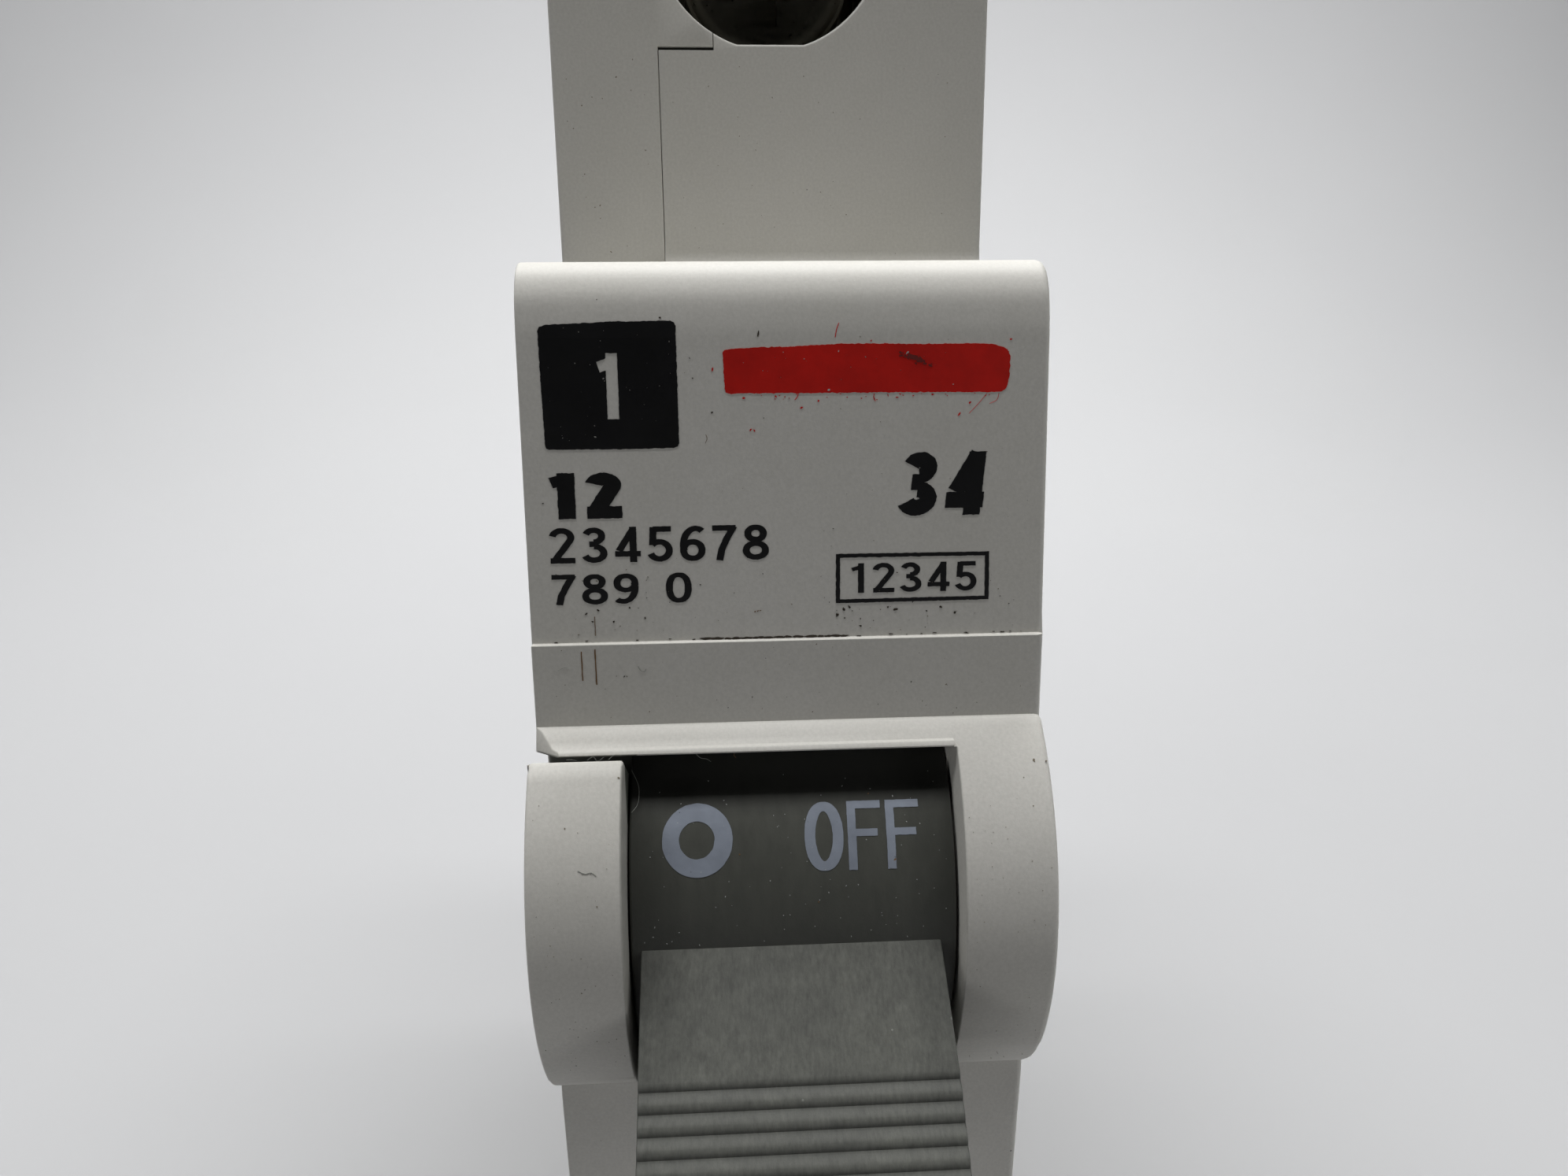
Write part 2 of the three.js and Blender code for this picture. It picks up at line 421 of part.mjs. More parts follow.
// ---------- terminals ----------
for (const [name, s] of [['upper', 1], ['lower', -1]]) {
  // rising cage: rectangular tube along Z with a thick threaded front wall
  const z0 = Math.min(s * 32.1, s * 39.9), z1 = Math.max(s * 32.1, s * 39.9);
  let cage = box(-4.9, 4.9, -31.4, -17.4, z0, z1).subtract(box(-3.6, 3.6, -28.9, -18.7, z0 - 1, z1 + 1));
  cage = cage.subtract(cylY(0, s * TZ, SCREW_R + 0.1, -32, -28, 24));
  add(name + '_terminal_cage', cage, zinc);
  // screw: slotted head, shank
  let screw = turned([
    [0, -39.2], [3.2, -39.2], [3.7, -38.8], [3.7, -36.2], [3.5, -36.0], [SCREW_R, -36.0], [SCREW_R, -26.8], [1.9, -26.5], [0, -26.5],
  ], 'y', 0, s * TZ, 20);
  screw = screw.subtract(box(-4, 4, -39.4, -38.0, s * TZ - 0.6, s * TZ + 0.6)).subtract(box(-0.5, 0.5, -39.4, -37.6, s * TZ - 2.3, s * TZ + 2.3));
  add(name + '_terminal_screw', screw, zinc);
}

// ---------- rail clip ----------
let clip = box(-4.7, 4.7, 1.2, 3.6, -41.7, -16.9);
clip = clip.add(prismX([[1.2, -16.95], [1.2, -16.3], [1.9, -16.3], [3.6, -17.6], [3.6, -18.0], [1.2, -18.0]], -4.7, 4.7));
clip = clip.subtract(box(-1.9, 1.9, 0, 5, -37.8, -27.0));        // window for the spring
clip = clip.subtract(box(-2.4, 2.4, 2.6, 5, -40.6, -39.2));      // notch for a screwdriver
add('rail_clip', clip, plasticBlack);
add('rail_clip_spring', wire(new Coil({ centre: [0, 2.3, -35.7], axis: 'z', r: 0.85, turns: 7, length: 8.3 }), 0.2, 63, 5), steel);

export default group;
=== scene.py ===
"""Looks of the one-pole circuit breaker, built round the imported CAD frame.

Geometry is worked out in millimetres in the frame of the row (X right, +Y towards the
rail, +Z up) and turned into metres when a piece is finished.
"""
import math
import random

import bmesh
import bpy
from mathutils import Matrix, Vector, noise
from mathutils.geometry import delaunay_2d_cdt


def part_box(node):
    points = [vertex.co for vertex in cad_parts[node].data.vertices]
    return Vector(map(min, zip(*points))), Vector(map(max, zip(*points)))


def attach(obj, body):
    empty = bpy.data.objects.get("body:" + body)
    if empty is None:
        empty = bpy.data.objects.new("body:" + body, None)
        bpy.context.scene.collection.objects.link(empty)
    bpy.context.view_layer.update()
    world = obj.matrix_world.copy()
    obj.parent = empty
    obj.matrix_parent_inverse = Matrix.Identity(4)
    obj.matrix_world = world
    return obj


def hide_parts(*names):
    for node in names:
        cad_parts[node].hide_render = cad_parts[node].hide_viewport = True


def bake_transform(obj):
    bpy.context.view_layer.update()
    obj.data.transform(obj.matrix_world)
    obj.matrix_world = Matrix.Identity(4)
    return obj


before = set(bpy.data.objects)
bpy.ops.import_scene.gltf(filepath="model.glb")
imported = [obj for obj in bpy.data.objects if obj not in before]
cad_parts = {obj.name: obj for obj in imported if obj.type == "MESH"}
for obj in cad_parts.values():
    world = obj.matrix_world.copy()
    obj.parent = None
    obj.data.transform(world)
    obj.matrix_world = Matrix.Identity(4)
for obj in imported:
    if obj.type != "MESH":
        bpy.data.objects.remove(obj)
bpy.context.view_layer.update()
scene = bpy.context.scene
DEG = math.pi / 180

# ---------------------------------------------------------------- dimensions (mm)
W, H = 8.75, 42.0
PY, PZ = -49.6, -0.25
BARREL = 8.0
WIN_L, WIN_R, WIN_LOW, LIP_Z = -5.67, 5.5, -6.5, 6.33
WALL_R = 5.44
CHEEK_L = (-49.2, 0.36, 9.72)  # centre (Y, Z) and radius
CHEEK_R = (-48.4, -0.05, 9.88)
SEAM = -4.5
TZ, HOLE_R = 36.0, 4.6
CY_, CZ_ = -30.4, 8.5
RX = W - 1.5
RIVETS = [(-47.6, 17.4), (-47.6, -17.4), (-40.5, 27.5), (-40.5, -27.5), (-5.2, 25.2), (-5.2, -25.2)]


# ---------------------------------------------------------------- camera first
cam_data = bpy.data.cameras.new("camera")
cam_data.sensor_fit = "HORIZONTAL"
cam_data.sensor_width = 36.0
cam_data.lens = 22.45
cam_data.clip_start, cam_data.clip_end = 0.002, 20.0
cam = bpy.data.objects.new("camera", cam_data)
scene.collection.objects.link(cam)
_r, _u, _b = Vector((0.99859, -0.05216, -0.00967)), Vector((0.02109, 0.22320, 0.97454)), Vector((-0.04868, -0.97338, 0.22399))
cam.matrix_world = Matrix((
    (_r.x, _u.x, _b.x, -0.00182),
    (_r.y, _u.y, _b.y, -0.08696),
    (_r.z, _u.z, _b.z, 0.01915),
    (0, 0, 0, 1),
))
scene.camera = cam


# ---------------------------------------------------------------- mesh kit
def mesh_from(name, verts, faces):
    me = bpy.data.meshes.new(name)
    me.from_pydata([tuple(v) for v in verts], [], faces)
    bm = bmesh.new()
    bm.from_mesh(me)
    bmesh.ops.recalc_face_normals(bm, faces=bm.faces[:])
    bm.to_mesh(me)
    bm.free()
    return me


def obj_from(me):
    o = bpy.data.objects.new(me.name, me)
    scene.collection.objects.link(o)
    return o


def prism_x(pts, x0, x1, name="p"):
    n = len(pts)
    v = [(x0, p[0], p[1]) for p in pts] + [(x1, p[0], p[1]) for p in pts]
    f = [list(range(n)), list(range(2 * n - 1, n - 1, -1))]
    f += [[i, (i + 1) % n, n + (i + 1) % n, n + i] for i in range(n)]
    return obj_from(mesh_from(name, v, f))


def prism_z(pts, z0, z1, name="p"):
    n = len(pts)
    v = [(p[0], p[1], z0) for p in pts] + [(p[0], p[1], z1) for p in pts]
    f = [list(range(n)), list(range(2 * n - 1, n - 1, -1))]
    f += [[i, (i + 1) % n, n + (i + 1) % n, n + i] for i in range(n)]
    return obj_from(mesh_from(name, v, f))


def prism_y(pts, y0, y1, name="p"):
    """outline in (x, z)"""
    n = len(pts)
    v = [(p[0], y0, p[1]) for p in pts] + [(p[0], y1, p[1]) for p in pts]
    f = [list(range(n)), list(range(2 * n - 1, n - 1, -1))]
    f += [[i, (i + 1) % n, n + (i + 1) % n, n + i] for i in range(n)]
    return obj_from(mesh_from(name, v, f))


def block(x0, x1, y0, y1, z0, z1):
    return prism_z([(x0, y0), (x1, y0), (x1, y1), (x0, y1)], z0, z1)


def ring(cy, cz, r, n, a0=0.0, a1=2 * math.pi):
    full = abs(a1 - a0 - 2 * math.pi) < 1e-9
    k = n if full else n + 1
    return [(cy + r * math.cos(a0 + (a1 - a0) * i / n), cz + r * math.sin(a0 + (a1 - a0) * i / n)) for i in range(k)]


def cyl_x(cy, cz, r, x0, x1, n=64):
    return prism_x(ring(cy, cz, r, n), x0, x1)


def cyl_y(cx, cz, r, y0, y1, n=64):
    return prism_y(ring(cx, cz, r, n), y0, y1)


def turned(profile, axis, a, b, n=48, name="t"):
    """profile [(radius, height)] about an axis through (a, b); both ends lie on the axis"""
    v, f, rings = [], [], []
    for r, h in profile:
        if r < 1e-9:
            rings.append([len(v)])
            v.append((0, 0, h))
        else:
            rings.append(list(range(len(v), len(v) + n)))
            v += [(r * math.cos(2 * math.pi * i / n), r * math.sin(2 * math.pi * i / n), h) for i in range(n)]
    for r0, r1 in zip(rings, rings[1:]):
        if len(r0) == 1 and len(r1) == 1:
            continue
        for i in range(n):
            j = (i + 1) % n
            if len(r0) == 1:
                f.append([r0[0], r1[i], r1[j]])
            elif len(r1) == 1:
                f.append([r0[i], r0[j], r1[0]])
            else:
                f.append([r0[i], r0[j], r1[j], r1[i]])
    if axis == "x":
        v = [(z, a + x, b + y) for x, y, z in v]
    elif axis == "y":
        v = [(a + x, z, b + y) for x, y, z in v]
    else:
        v = [(a + x, b + y, z) for x, y, z in v]
    return obj_from(mesh_from(name, v, f))


def half_space(a, b, c, side, size=12.0):
    """a thick slab whose face passes through a, b and c, lying on the side of the point given"""
    a, b, c, side = (Vector(q) for q in (a, b, c, side))
    n = (b - a).cross(c - a).normalized()
    if (side - a).dot(n) < 0:
        n = -n
    u = (b - a).normalized()
    w = n.cross(u)
    v = [a + u * i * size + w * j * size + n * k * size for k in (0, 1) for i, j in ((-1, -1), (1, -1), (1, 1), (-1, 1))]
    f = [[0, 1, 2, 3], [7, 6, 5, 4]] + [[i, (i + 1) % 4, 4 + (i + 1) % 4, 4 + i] for i in range(4)]
    return obj_from(mesh_from("half_space", v, f))


def boolean(base, tools, how):
    """how is UNION, DIFFERENCE or INTERSECT. Uses up the tools and gives base its new mesh."""
    for t in tools:
        m = base.modifiers.new("b", "BOOLEAN")
        m.operation, m.object, m.solver = how, t, "MANIFOLD"
    bpy.context.view_layer.update()
    dg = bpy.context.evaluated_depsgraph_get()
    me = bpy.data.meshes.new_from_object(base.evaluated_get(dg))
    base.modifiers.clear()
    old = base.data
    base.data = me
    bpy.data.meshes.remove(old)
    for t in tools:
        d = t.data
        bpy.data.objects.remove(t)
        bpy.data.meshes.remove(d)
    return base


def union(base, *tools):
    return boolean(base, list(tools), "UNION")


def cut(base, *tools):
    return boolean(base, list(tools), "DIFFERENCE")


def meet(base, *tools):
    return boolean(base, list(tools), "INTERSECT")


def copy_of(o):
    c = o.copy()
    c.data = o.data.copy()
    scene.collection.objects.link(c)
    return c


def smooth_profile(pts, steps=5):
    """Catmull-Rom through points, for soft moulded corners"""
    out = []
    n = len(pts)
    for i in range(n - 1):
        p0, p1, p2, p3 = pts[max(i - 1, 0)], pts[i], pts[i + 1], pts[min(i + 2, n - 1)]
        for k in range(steps):
            t = k / steps
            out.append(tuple(0.5 * (2 * p1[j] + (p2[j] - p0[j]) * t + (2 * p0[j] - 5 * p1[j] + 4 * p2[j] - p3[j]) * t * t + (3 * p1[j] - p0[j] - 3 * p2[j] + p3[j]) * t ** 3) for j in (0, 1)))
    out.append(pts[-1])
    return out


def tidy(o, angle=0.35):
    bm = bmesh.new()
    bm.from_mesh(o.data)
    bmesh.ops.remove_doubles(bm, verts=bm.verts[:], dist=2e-4)
    bmesh.ops.dissolve_degenerate(bm, dist=1e-4, edges=bm.edges[:])
    bmesh.ops.dissolve_limit(bm, angle_limit=angle * DEG, verts=bm.verts[:], edges=bm.edges[:], use_dissolve_boundaries=False)
    bm.to_mesh(o.data)
    bm.free()
    o.data.update()


def round_edges(o, rule, segments=3, least=25):
    """rule(mid, direction, n1, n2, convex) gives the radius in mm for each sharp edge"""
    me = o.data
    bm = bmesh.new()
    bm.from_mesh(me)
    bm.normal_update()
    layer = bm.edges.layers.float.get("bevel_weight_edge") or bm.edges.layers.float.new("bevel_weight_edge")
    for e in bm.edges:
        if len(e.link_faces) != 2:
            continue
        a = e.calc_face_angle(0.0)
        if a < least * DEG:
            continue
        mid = (e.verts[0].co + e.verts[1].co) / 2
        d = (e.verts[1].co - e.verts[0].co)
        if d.length < 1e-6:
            continue
        n1, n2 = e.link_faces[0].normal, e.link_faces[1].normal
        r = rule(mid, d.normalized(), n1, n2, e.is_convex)
        if r:
            e[layer] = min(1.0, r)
    bm.to_mesh(me)
    bm.free()
    m = o.modifiers.new("bevel", "BEVEL")
    m.width, m.segments, m.limit_method = 1.0, segments, "WEIGHT"
    m.offset_type = "OFFSET"
    m.use_clamp_overlap = False
    m.loop_slide = True
    m.harden_normals = False
    return o


def point_in(poly, x, y):
    c = False
    j = len(poly) - 1
    for i in range(len(poly)):
        xi, yi = poly[i]
        xj, yj = poly[j]
        if (yi > y) != (yj > y) and x < (xj - xi) * (y - yi) / (yj - yi) + xi:
            c = not c
        j = i
    return c


def untangle(pts):
    """straightens the small loops a rounded corner can leave in an outline, for working out its triangles"""
    pts = [q.copy() for q in pts]
    k = len(pts)
    for _ in range(12):
        hit = None
        for i in range(k):
            a, b = pts[i], pts[(i + 1) % k]
            for d in range(2, min(14, k - 2)):
                j = (i + d) % k
                c, e = pts[j], pts[(j + 1) % k]
                d1 = (b.x - a.x) * (c.y - a.y) - (b.y - a.y) * (c.x - a.x)
                d2 = (b.x - a.x) * (e.y - a.y) - (b.y - a.y) * (e.x - a.x)
                d3 = (e.x - c.x) * (a.y - c.y) - (e.y - c.y) * (a.x - c.x)
                d4 = (e.x - c.x) * (b.y - c.y) - (e.y - c.y) * (b.x - c.x)
                if d1 * d2 < 0 and d3 * d4 < 0:
                    hit = (i, d)
                    t = d1 / (d1 - d2)
                    x = c + (e - c) * t
                    break
            if hit:
                break
        if not hit:
            break
        i, d = hit
        # the vertices of the loop are drawn in to a short straight run through the crossing
        a, e = pts[i], pts[(i + d + 1) % k]
        va, ve = (a - x), (e - x)
        la, le = min(va.length * 0.4, 0.01), min(ve.length * 0.4, 0.01)
        pa, pe = x + va.normalized() * la, x + ve.normalized() * le
        for m in range(1, d + 1):
            pts[(i + m) % k] = pa + (pe - pa) * ((m - 1) / max(1, d - 1))
    for i in range(k):
        if (pts[i] - pts[(i + 1) % k]).length < 2e-6:
            pts[(i + 1) % k] = pts[(i + 1) % k] + (pts[(i + 2) % k] - pts[(i + 1) % k]) * 0.02
    return pts


def split_flats(me):
    """cuts every many-sided face into triangles that stay inside its outline"""
    bm = bmesh.new()
    bm.from_mesh(me)
    bm.normal_update()
    old, rest = [], []
    for f in [f for f in bm.faces if len(f.verts) > 4]:
        n = f.normal
        u = n.orthogonal().normalized()
        w = n.cross(u)
        c0 = f.verts[0].co.copy()
        pts = [Vector(((v.co - c0).dot(u), (v.co - c0).dot(w))) for v in f.verts]
        k = len(pts)
        if k > 5:
            was = pts
            pts = untangle(pts)
            moved = max((a - b).length for a, b in zip(was, pts))
            if moved > 0.12:
                print("outline corner straightened by %.2f mm" % moved, k, [round(q, 1) for q in f.calc_center_median()], [round(q, 2) for q in n])
        loop = [(q.x, q.y) for q in pts]
        v2, _, tris, ov, _, _ = delaunay_2d_cdt(pts, [(i, (i + 1) % k) for i in range(k)], [], 0, 1e-7)
        if len(v2) != k or any(len(q) != 1 for q in ov):
            rest.append(f)
            continue
        keep, total = [], 0.0
        for t in tris:
            a, b, c = (v2[i] for i in t)
            ar = ((b.x - a.x) * (c.y - a.y) - (b.y - a.y) * (c.x - a.x)) / 2
            if not point_in(loop, (a.x + b.x + c.x) / 3, (a.y + b.y + c.y) / 3):
                continue
            total += abs(ar)
            ids = [ov[i][0] for i in t]
            keep.append(ids if ar > 0 else ids[::-1])
        if len(keep) != k - 2:
            rest.append(f)
            continue
        vs, m = list(f.verts), f.material_index
        try:
            made = [bm.faces.new([vs[i] for i in ids]) for ids in keep]
        except ValueError:
            rest.append(f)
            continue
        for q in made:
            q.material_index = m
        old.append(f)
    bmesh.ops.delete(bm, geom=old, context="FACES_ONLY")
    if rest:
        bmesh.ops.triangulate(bm, faces=rest, ngon_method="EAR_CLIP")
    bm.to_mesh(me)
    bm.free()
    me.update()
    return len(old), len(rest)


def finish_mesh(o, name, sharp=32, weighted=True, scale=0.001):
    """applies what is on the piece, shades it, and turns it into metres"""
    bpy.context.view_layer.update()
    dg = bpy.context.evaluated_depsgraph_get()
    me = bpy.data.meshes.new_from_object(o.evaluated_get(dg))
    o.modifiers.clear()
    old = o.data
    o.data = me
    bpy.data.meshes.remove(old)
    flats = split_flats(me)
    if flats[1]:
        print("faces split the plain way in", name, flats)
    me.transform(Matrix.Scale(scale, 4))
    for p in me.polygons:
        p.use_smooth = True
    me.set_sharp_from_angle(angle=sharp * DEG)
    o.name = me.name = name
    if weighted:
        m = o.modifiers.new("normals", "WEIGHTED_NORMAL")
        m.keep_sharp, m.weight = True, 80
        bpy.context.view_layer.update()
        dg = bpy.context.evaluated_depsgraph_get()
        me2 = bpy.data.meshes.new_from_object(o.evaluated_get(dg))
        o.modifiers.clear()
        o.data = me2
        bpy.data.meshes.remove(me)
        me2.name = name
    return o


def give(o, *materials):
    o.data.materials.clear()
    for m in materials:
        o.data.materials.append(m)
    return o


# ---------------------------------------------------------------- materials
class Nodes:
    def __init__(self, name):
        self.m = bpy.data.materials.new(name)
        self.m.use_nodes = True
        self.t = self.m.node_tree
        self.t.nodes.clear()
        self.out = self.t.nodes.new("ShaderNodeOutputMaterial")
        self.p = self.t.nodes.new("ShaderNodeBsdfPrincipled")
        self.link(self.p.outputs[0], self.out.inputs[0])
        self.co = self.t.nodes.new("ShaderNodeTexCoord").outputs["Object"]

    def link(self, a, b):
        self.t.links.new(a, b)

    def set(self, **kw):
        for k, v in kw.items():
            self.p.inputs[k.replace("_", " ")].default_value = v
        return self

    def mapping(self, scale=(1, 1, 1), rot=(0, 0, 0), loc=(0, 0, 0)):
        n = self.t.nodes.new("ShaderNodeMapping")
        n.inputs["Scale"].default_value = scale
        n.inputs["Rotation"].default_value = rot
        n.inputs["Location"].default_value = loc
        self.link(self.co, n.inputs[0])
        return n.outputs[0]

    def noise(self, scale, detail=2.0, rough=0.5, vec=None, distort=0.0):
        n = self.t.nodes.new("ShaderNodeTexNoise")
        n.inputs["Scale"].default_value = scale
        n.inputs["Detail"].default_value = detail
        n.inputs["Roughness"].default_value = rough
        n.inputs["Distortion"].default_value = distort
        self.link(vec or self.co, n.inputs["Vector"])
        return n.outputs["Fac"]

    def voronoi(self, scale, vec=None, feature="F1", randomness=1.0):
        n = self.t.nodes.new("ShaderNodeTexVoronoi")
        n.feature = feature
        n.inputs["Scale"].default_value = scale
        n.inputs["Randomness"].default_value = randomness
        self.link(vec or self.co, n.inputs["Vector"])
        return n

    def ramp(self, fac, stops, interp="LINEAR"):
        n = self.t.nodes.new("ShaderNodeValToRGB")
        n.color_ramp.interpolation = interp
        e = n.color_ramp.elements
        while len(e) > 1:
            e.remove(e[-1])
        e[0].position, e[0].color = stops[0][0], col(stops[0][1])
        for pos, c in stops[1:]:
            x = e.new(pos)
            x.color = col(c)
        self.link(fac, n.inputs[0])
        return n.outputs[0]

    def math(self, op, a, b=None, c=None, clamp=False):
        n = self.t.nodes.new("ShaderNodeMath")
        n.operation, n.use_clamp = op, clamp
        for i, v in enumerate((a, b, c)):
            if v is None:
                continue
            if isinstance(v, (int, float)):
                n.inputs[i].default_value = v
            else:
                self.link(v, n.inputs[i])
        return n.outputs[0]

    def mix(self, fac, a, b, kind="MIX"):
        n = self.t.nodes.new("ShaderNodeMix")
        n.data_type, n.blend_type = "RGBA", kind
        n.clamp_factor = True
        for sock, v in ((n.inputs["Factor"], fac), (n.inputs[6], a), (n.inputs[7], b)):
            if isinstance(v, (int, float)):
                sock.default_value = v
            elif isinstance(v, tuple):
                sock.default_value = col(v)
            else:
                self.link(v, sock)
        return n.outputs[2]

    def rng(self, v, a0, a1, b0, b1):
        n = self.t.nodes.new("ShaderNodeMapRange")
        n.inputs["From Min"].default_value, n.inputs["From Max"].default_value = a0, a1
        n.inputs["To Min"].default_value, n.inputs["To Max"].default_value = b0, b1
        self.link(v, n.inputs["Value"])
        return n.outputs["Result"]

    def bump(self, height, strength, distance, prev=None):
        n = self.t.nodes.new("ShaderNodeBump")
        n.inputs["Strength"].default_value = strength
        n.inputs["Distance"].default_value = distance
        self.link(height, n.inputs["Height"])
        if prev is not None:
            self.link(prev, n.inputs["Normal"])
        return n.outputs[0]

    def axes(self):
        n = self.t.nodes.new("ShaderNodeSeparateXYZ")
        self.link(self.co, n.inputs[0])
        return n.outputs[0], n.outputs[1], n.outputs[2]

    def zone(self, spans, soft):
        """1 inside a box given in mm as ((x0, x1), (y0, y1), (z0, z1)), fading over soft mm outside it"""
        out = None
        for v, span in zip(self.axes(), spans):
            for k, edge in enumerate(span or ()):
                if edge is None:
                    continue
                m = self.rng(v, (edge - soft) / 1000, edge / 1000, 0, 1) if k == 0 else self.rng(v, edge / 1000, (edge + soft) / 1000, 1, 0)
                out = m if out is None else self.math("MULTIPLY", out, m)
        return out

    def base(self, c):
        self.link(c, self.p.inputs["Base Color"])

    def rough(self, c):
        self.link(c, self.p.inputs["Roughness"])

    def normal(self, c):
        self.link(c, self.p.inputs["Normal"])


def col(c):
    c = tuple(c)
    return c if len(c) == 4 else c + (1.0,)


def lin(r, g, b):
    """sRGB 0..255 to linear"""
    f = lambda u: (u / 255 / 12.92) if u / 255 <= 0.04045 else ((u / 255 + 0.055) / 1.055) ** 2.4
    return (f(r), f(g), f(b))


def shell_material():
    s = Nodes("shell_plastic")
    s.set(Roughness=0.55, Specular_IOR_Level=0.42)
    blotch = s.noise(120, 4, 0.6)
    grain = s.noise(9000, 2, 0.6)
    fine = s.noise(26000, 1, 0.5)
    base = s.ramp(blotch, [(0.3, lin(205, 203, 196)), (0.7, lin(211, 209, 203))])
    mott = s.ramp(grain, [(0.25, (0.93, 0.93, 0.925)), (0.75, (1.05, 1.05, 1.05))])
    base = s.mix(1.0, base, mott, "MULTIPLY")
    # sparse dark specks in the moulding
    v = s.voronoi(1500)
    size = s.rng(s.noise(700, 1, 0.5), 0.45, 0.75, 0.0, 0.075)
    speck = s.math("LESS_THAN", v.outputs["Distance"], size)
    keep = s.math("GREATER_THAN", s.noise(260, 3, 0.5), 0.56)
    base = s.mix(s.math("MULTIPLY", s.math("MULTIPLY", speck, keep), 0.75), base, lin(88, 82, 74))
    # painted shade on the walls of the toggle's window, heavier on the left wall and mottled
    cloud = s.rng(s.noise(900, 4, 0.65), 0.3, 0.7, 0.7, 1.0)
    window_wall_shade = s.zone(((-5.7, 5.6), (None, -50.0), (-6.7, 6.3)), 0.05)
    side = s.rng(s.axes()[0], -0.0057, 0.0055, 0.5, 0.14)
    base = s.mix(s.math("MULTIPLY", s.math("MULTIPLY", window_wall_shade, side), cloud), base, lin(72, 74, 64))
    # painted shadow in the gap under the lip, behind the top of the left cheek
    under = s.zone(((-8.66, -5.3), (-56.25, -53.4), (4.0, 6.36)), 0.06)
    base = s.mix(s.math("MULTIPLY", under, 0.85), base, lin(44, 48, 38))
    # painted shade inside the two screw holes
    for za, zb in ((31.2, 40.8), (-40.8, -31.2)):
        hole_shade = s.zone(((-4.9, 4.9), (-43.7, -15.0), (za, zb)), 0.15)
        base = s.mix(s.math("MULTIPLY", hole_shade, 0.72), base, lin(40, 40, 32))
    s.base(base)
    s.rough(s.rng(grain, 0.2, 0.8, 0.5, 0.62))
    h = s.math("ADD", s.math("MULTIPLY", grain, 0.6), s.math("MULTIPLY", fine, 0.4))
    n1 = s.bump(s.noise(700, 3, 0.6), 0.1, 0.00002)
    s.normal(s.bump(h, 0.4, 0.00001, n1))
    return s.m


def toggle_material():
    """the barrel: smooth moulding, with painted shade at its ends and a painted shadow of the lip over its top"""
    s = Nodes("toggle_plastic")
    s.set(Roughness=0.45, Specular_IOR_Level=0.4)
    blotch = s.noise(260, 4, 0.6)
    streak = s.noise(2600, 3, 0.65, s.mapping(scale=(1, 0.35, 0.35)))
    base = s.ramp(blotch, [(0.3, lin(74, 75, 70)), (0.7, lin(79, 80, 75))])
    mott = s.ramp(streak, [(0.25, (0.91, 0.91, 0.91)), (0.75, (1.09, 1.09, 1.07))])
    base = s.mix(1.0, base, mott, "MULTIPLY")
    # painted shade at the ends of the barrel, next to the walls of the window
    end_shade = s.rng(s.math("ABSOLUTE", s.axes()[0]), 0.0036, 0.0055, 0.0, 0.42)
    base = s.mix(end_shade, base, lin(40, 41, 38))
    # painted shadow of the lip on the part of the barrel that runs in under it
    base = s.mix(s.rng(s.axes()[2], 0.0041, 0.0049, 0.0, 0.72), base, lin(15, 15, 14))
    s.base(base)
    s.rough(s.rng(streak, 0.2, 0.8, 0.42, 0.55))
    n1 = s.bump(streak, 0.2, 0.00001)
    s.normal(s.bump(s.noise(12000, 2, 0.6), 0.35, 0.000008, n1))
    return s.m


def grip_material():
    """the handle: the same moulding, matt and rubbed by fingers, with painted shade at its ends, its root and between
    the ribs
    """
    s = Nodes("toggle_grip_plastic")
    s.set(Roughness=0.6, Specular_IOR_Level=0.35)
    blotch = s.noise(360, 4, 0.6)
    fine = s.noise(8200, 4, 0.7, s.mapping(scale=(1, 0.34, 0.34)))
    base = s.ramp(blotch, [(0.3, lin(91, 92, 88)), (0.7, lin(98, 99, 94))])
    mott = s.ramp(fine, [(0.3, (0.8, 0.8, 0.8)), (0.72, (1.19, 1.19, 1.18))])
    base = s.mix(1.0, base, mott, "MULTIPLY")
    cloud = s.ramp(s.noise(1500, 5, 0.7), [(0.32, (0.86, 0.86, 0.86)), (0.68, (1.12, 1.12, 1.11))])
    base = s.mix(1.0, base, cloud, "MULTIPLY")
    # pale lint and rubbed points
    v = s.voronoi(900)
    dot = s.math("LESS_THAN", v.outputs["Distance"], s.rng(s.noise(500, 2, 0.5), 0.45, 0.8, 0.0, 0.075))
    base = s.mix(s.math("MULTIPLY", dot, 0.5), base, lin(150, 152, 146))
    # painted shade at the ends of the handle, strongest towards its root
    end_shade = s.rng(s.math("ABSOLUTE", s.axes()[0]), 0.0034, 0.0053, 0.0, 0.34)
    root_shade = s.rng(s.axes()[2], -0.0045, -0.0015, 0.1, 1.0)
    base = s.mix(s.math("MULTIPLY", end_shade, root_shade), base, lin(48, 49, 46))
    # painted shade between the ribs: depth below the plane of the face
    ax = s.axes()
    c49, s49 = math.cos(49 * DEG), math.sin(49 * DEG)
    fwd = s.math("SUBTRACT", s.math("MULTIPLY", ax[1], -1.0), (-PY + 7.99) / 1000)
    up = s.math("SUBTRACT", ax[2], (PZ + 0.3) / 1000)
    depth = s.math("ADD", s.math("MULTIPLY", fwd, s49), s.math("MULTIPLY", up, c49))
    along = s.math("SUBTRACT", s.math("MULTIPLY", fwd, c49), s.math("MULTIPLY", up, s49))
    rib_valley_shade = s.math("MULTIPLY", s.rng(depth, -0.00008, -0.000005, 0.42, 0.1), s.rng(along, 0.0038, 0.0040, 0.0, 1.0))
    base = s.mix(rib_valley_shade, base, lin(34, 35, 33))
    s.base(base)
    s.rough(s.rng(fine, 0.2, 0.8, 0.5, 0.66))
    n1 = s.bump(fine, 0.3, 0.000014)
    s.normal(s.bump(s.noise(16000, 2, 0.6), 0.3, 0.000008, n1))
    return s.m


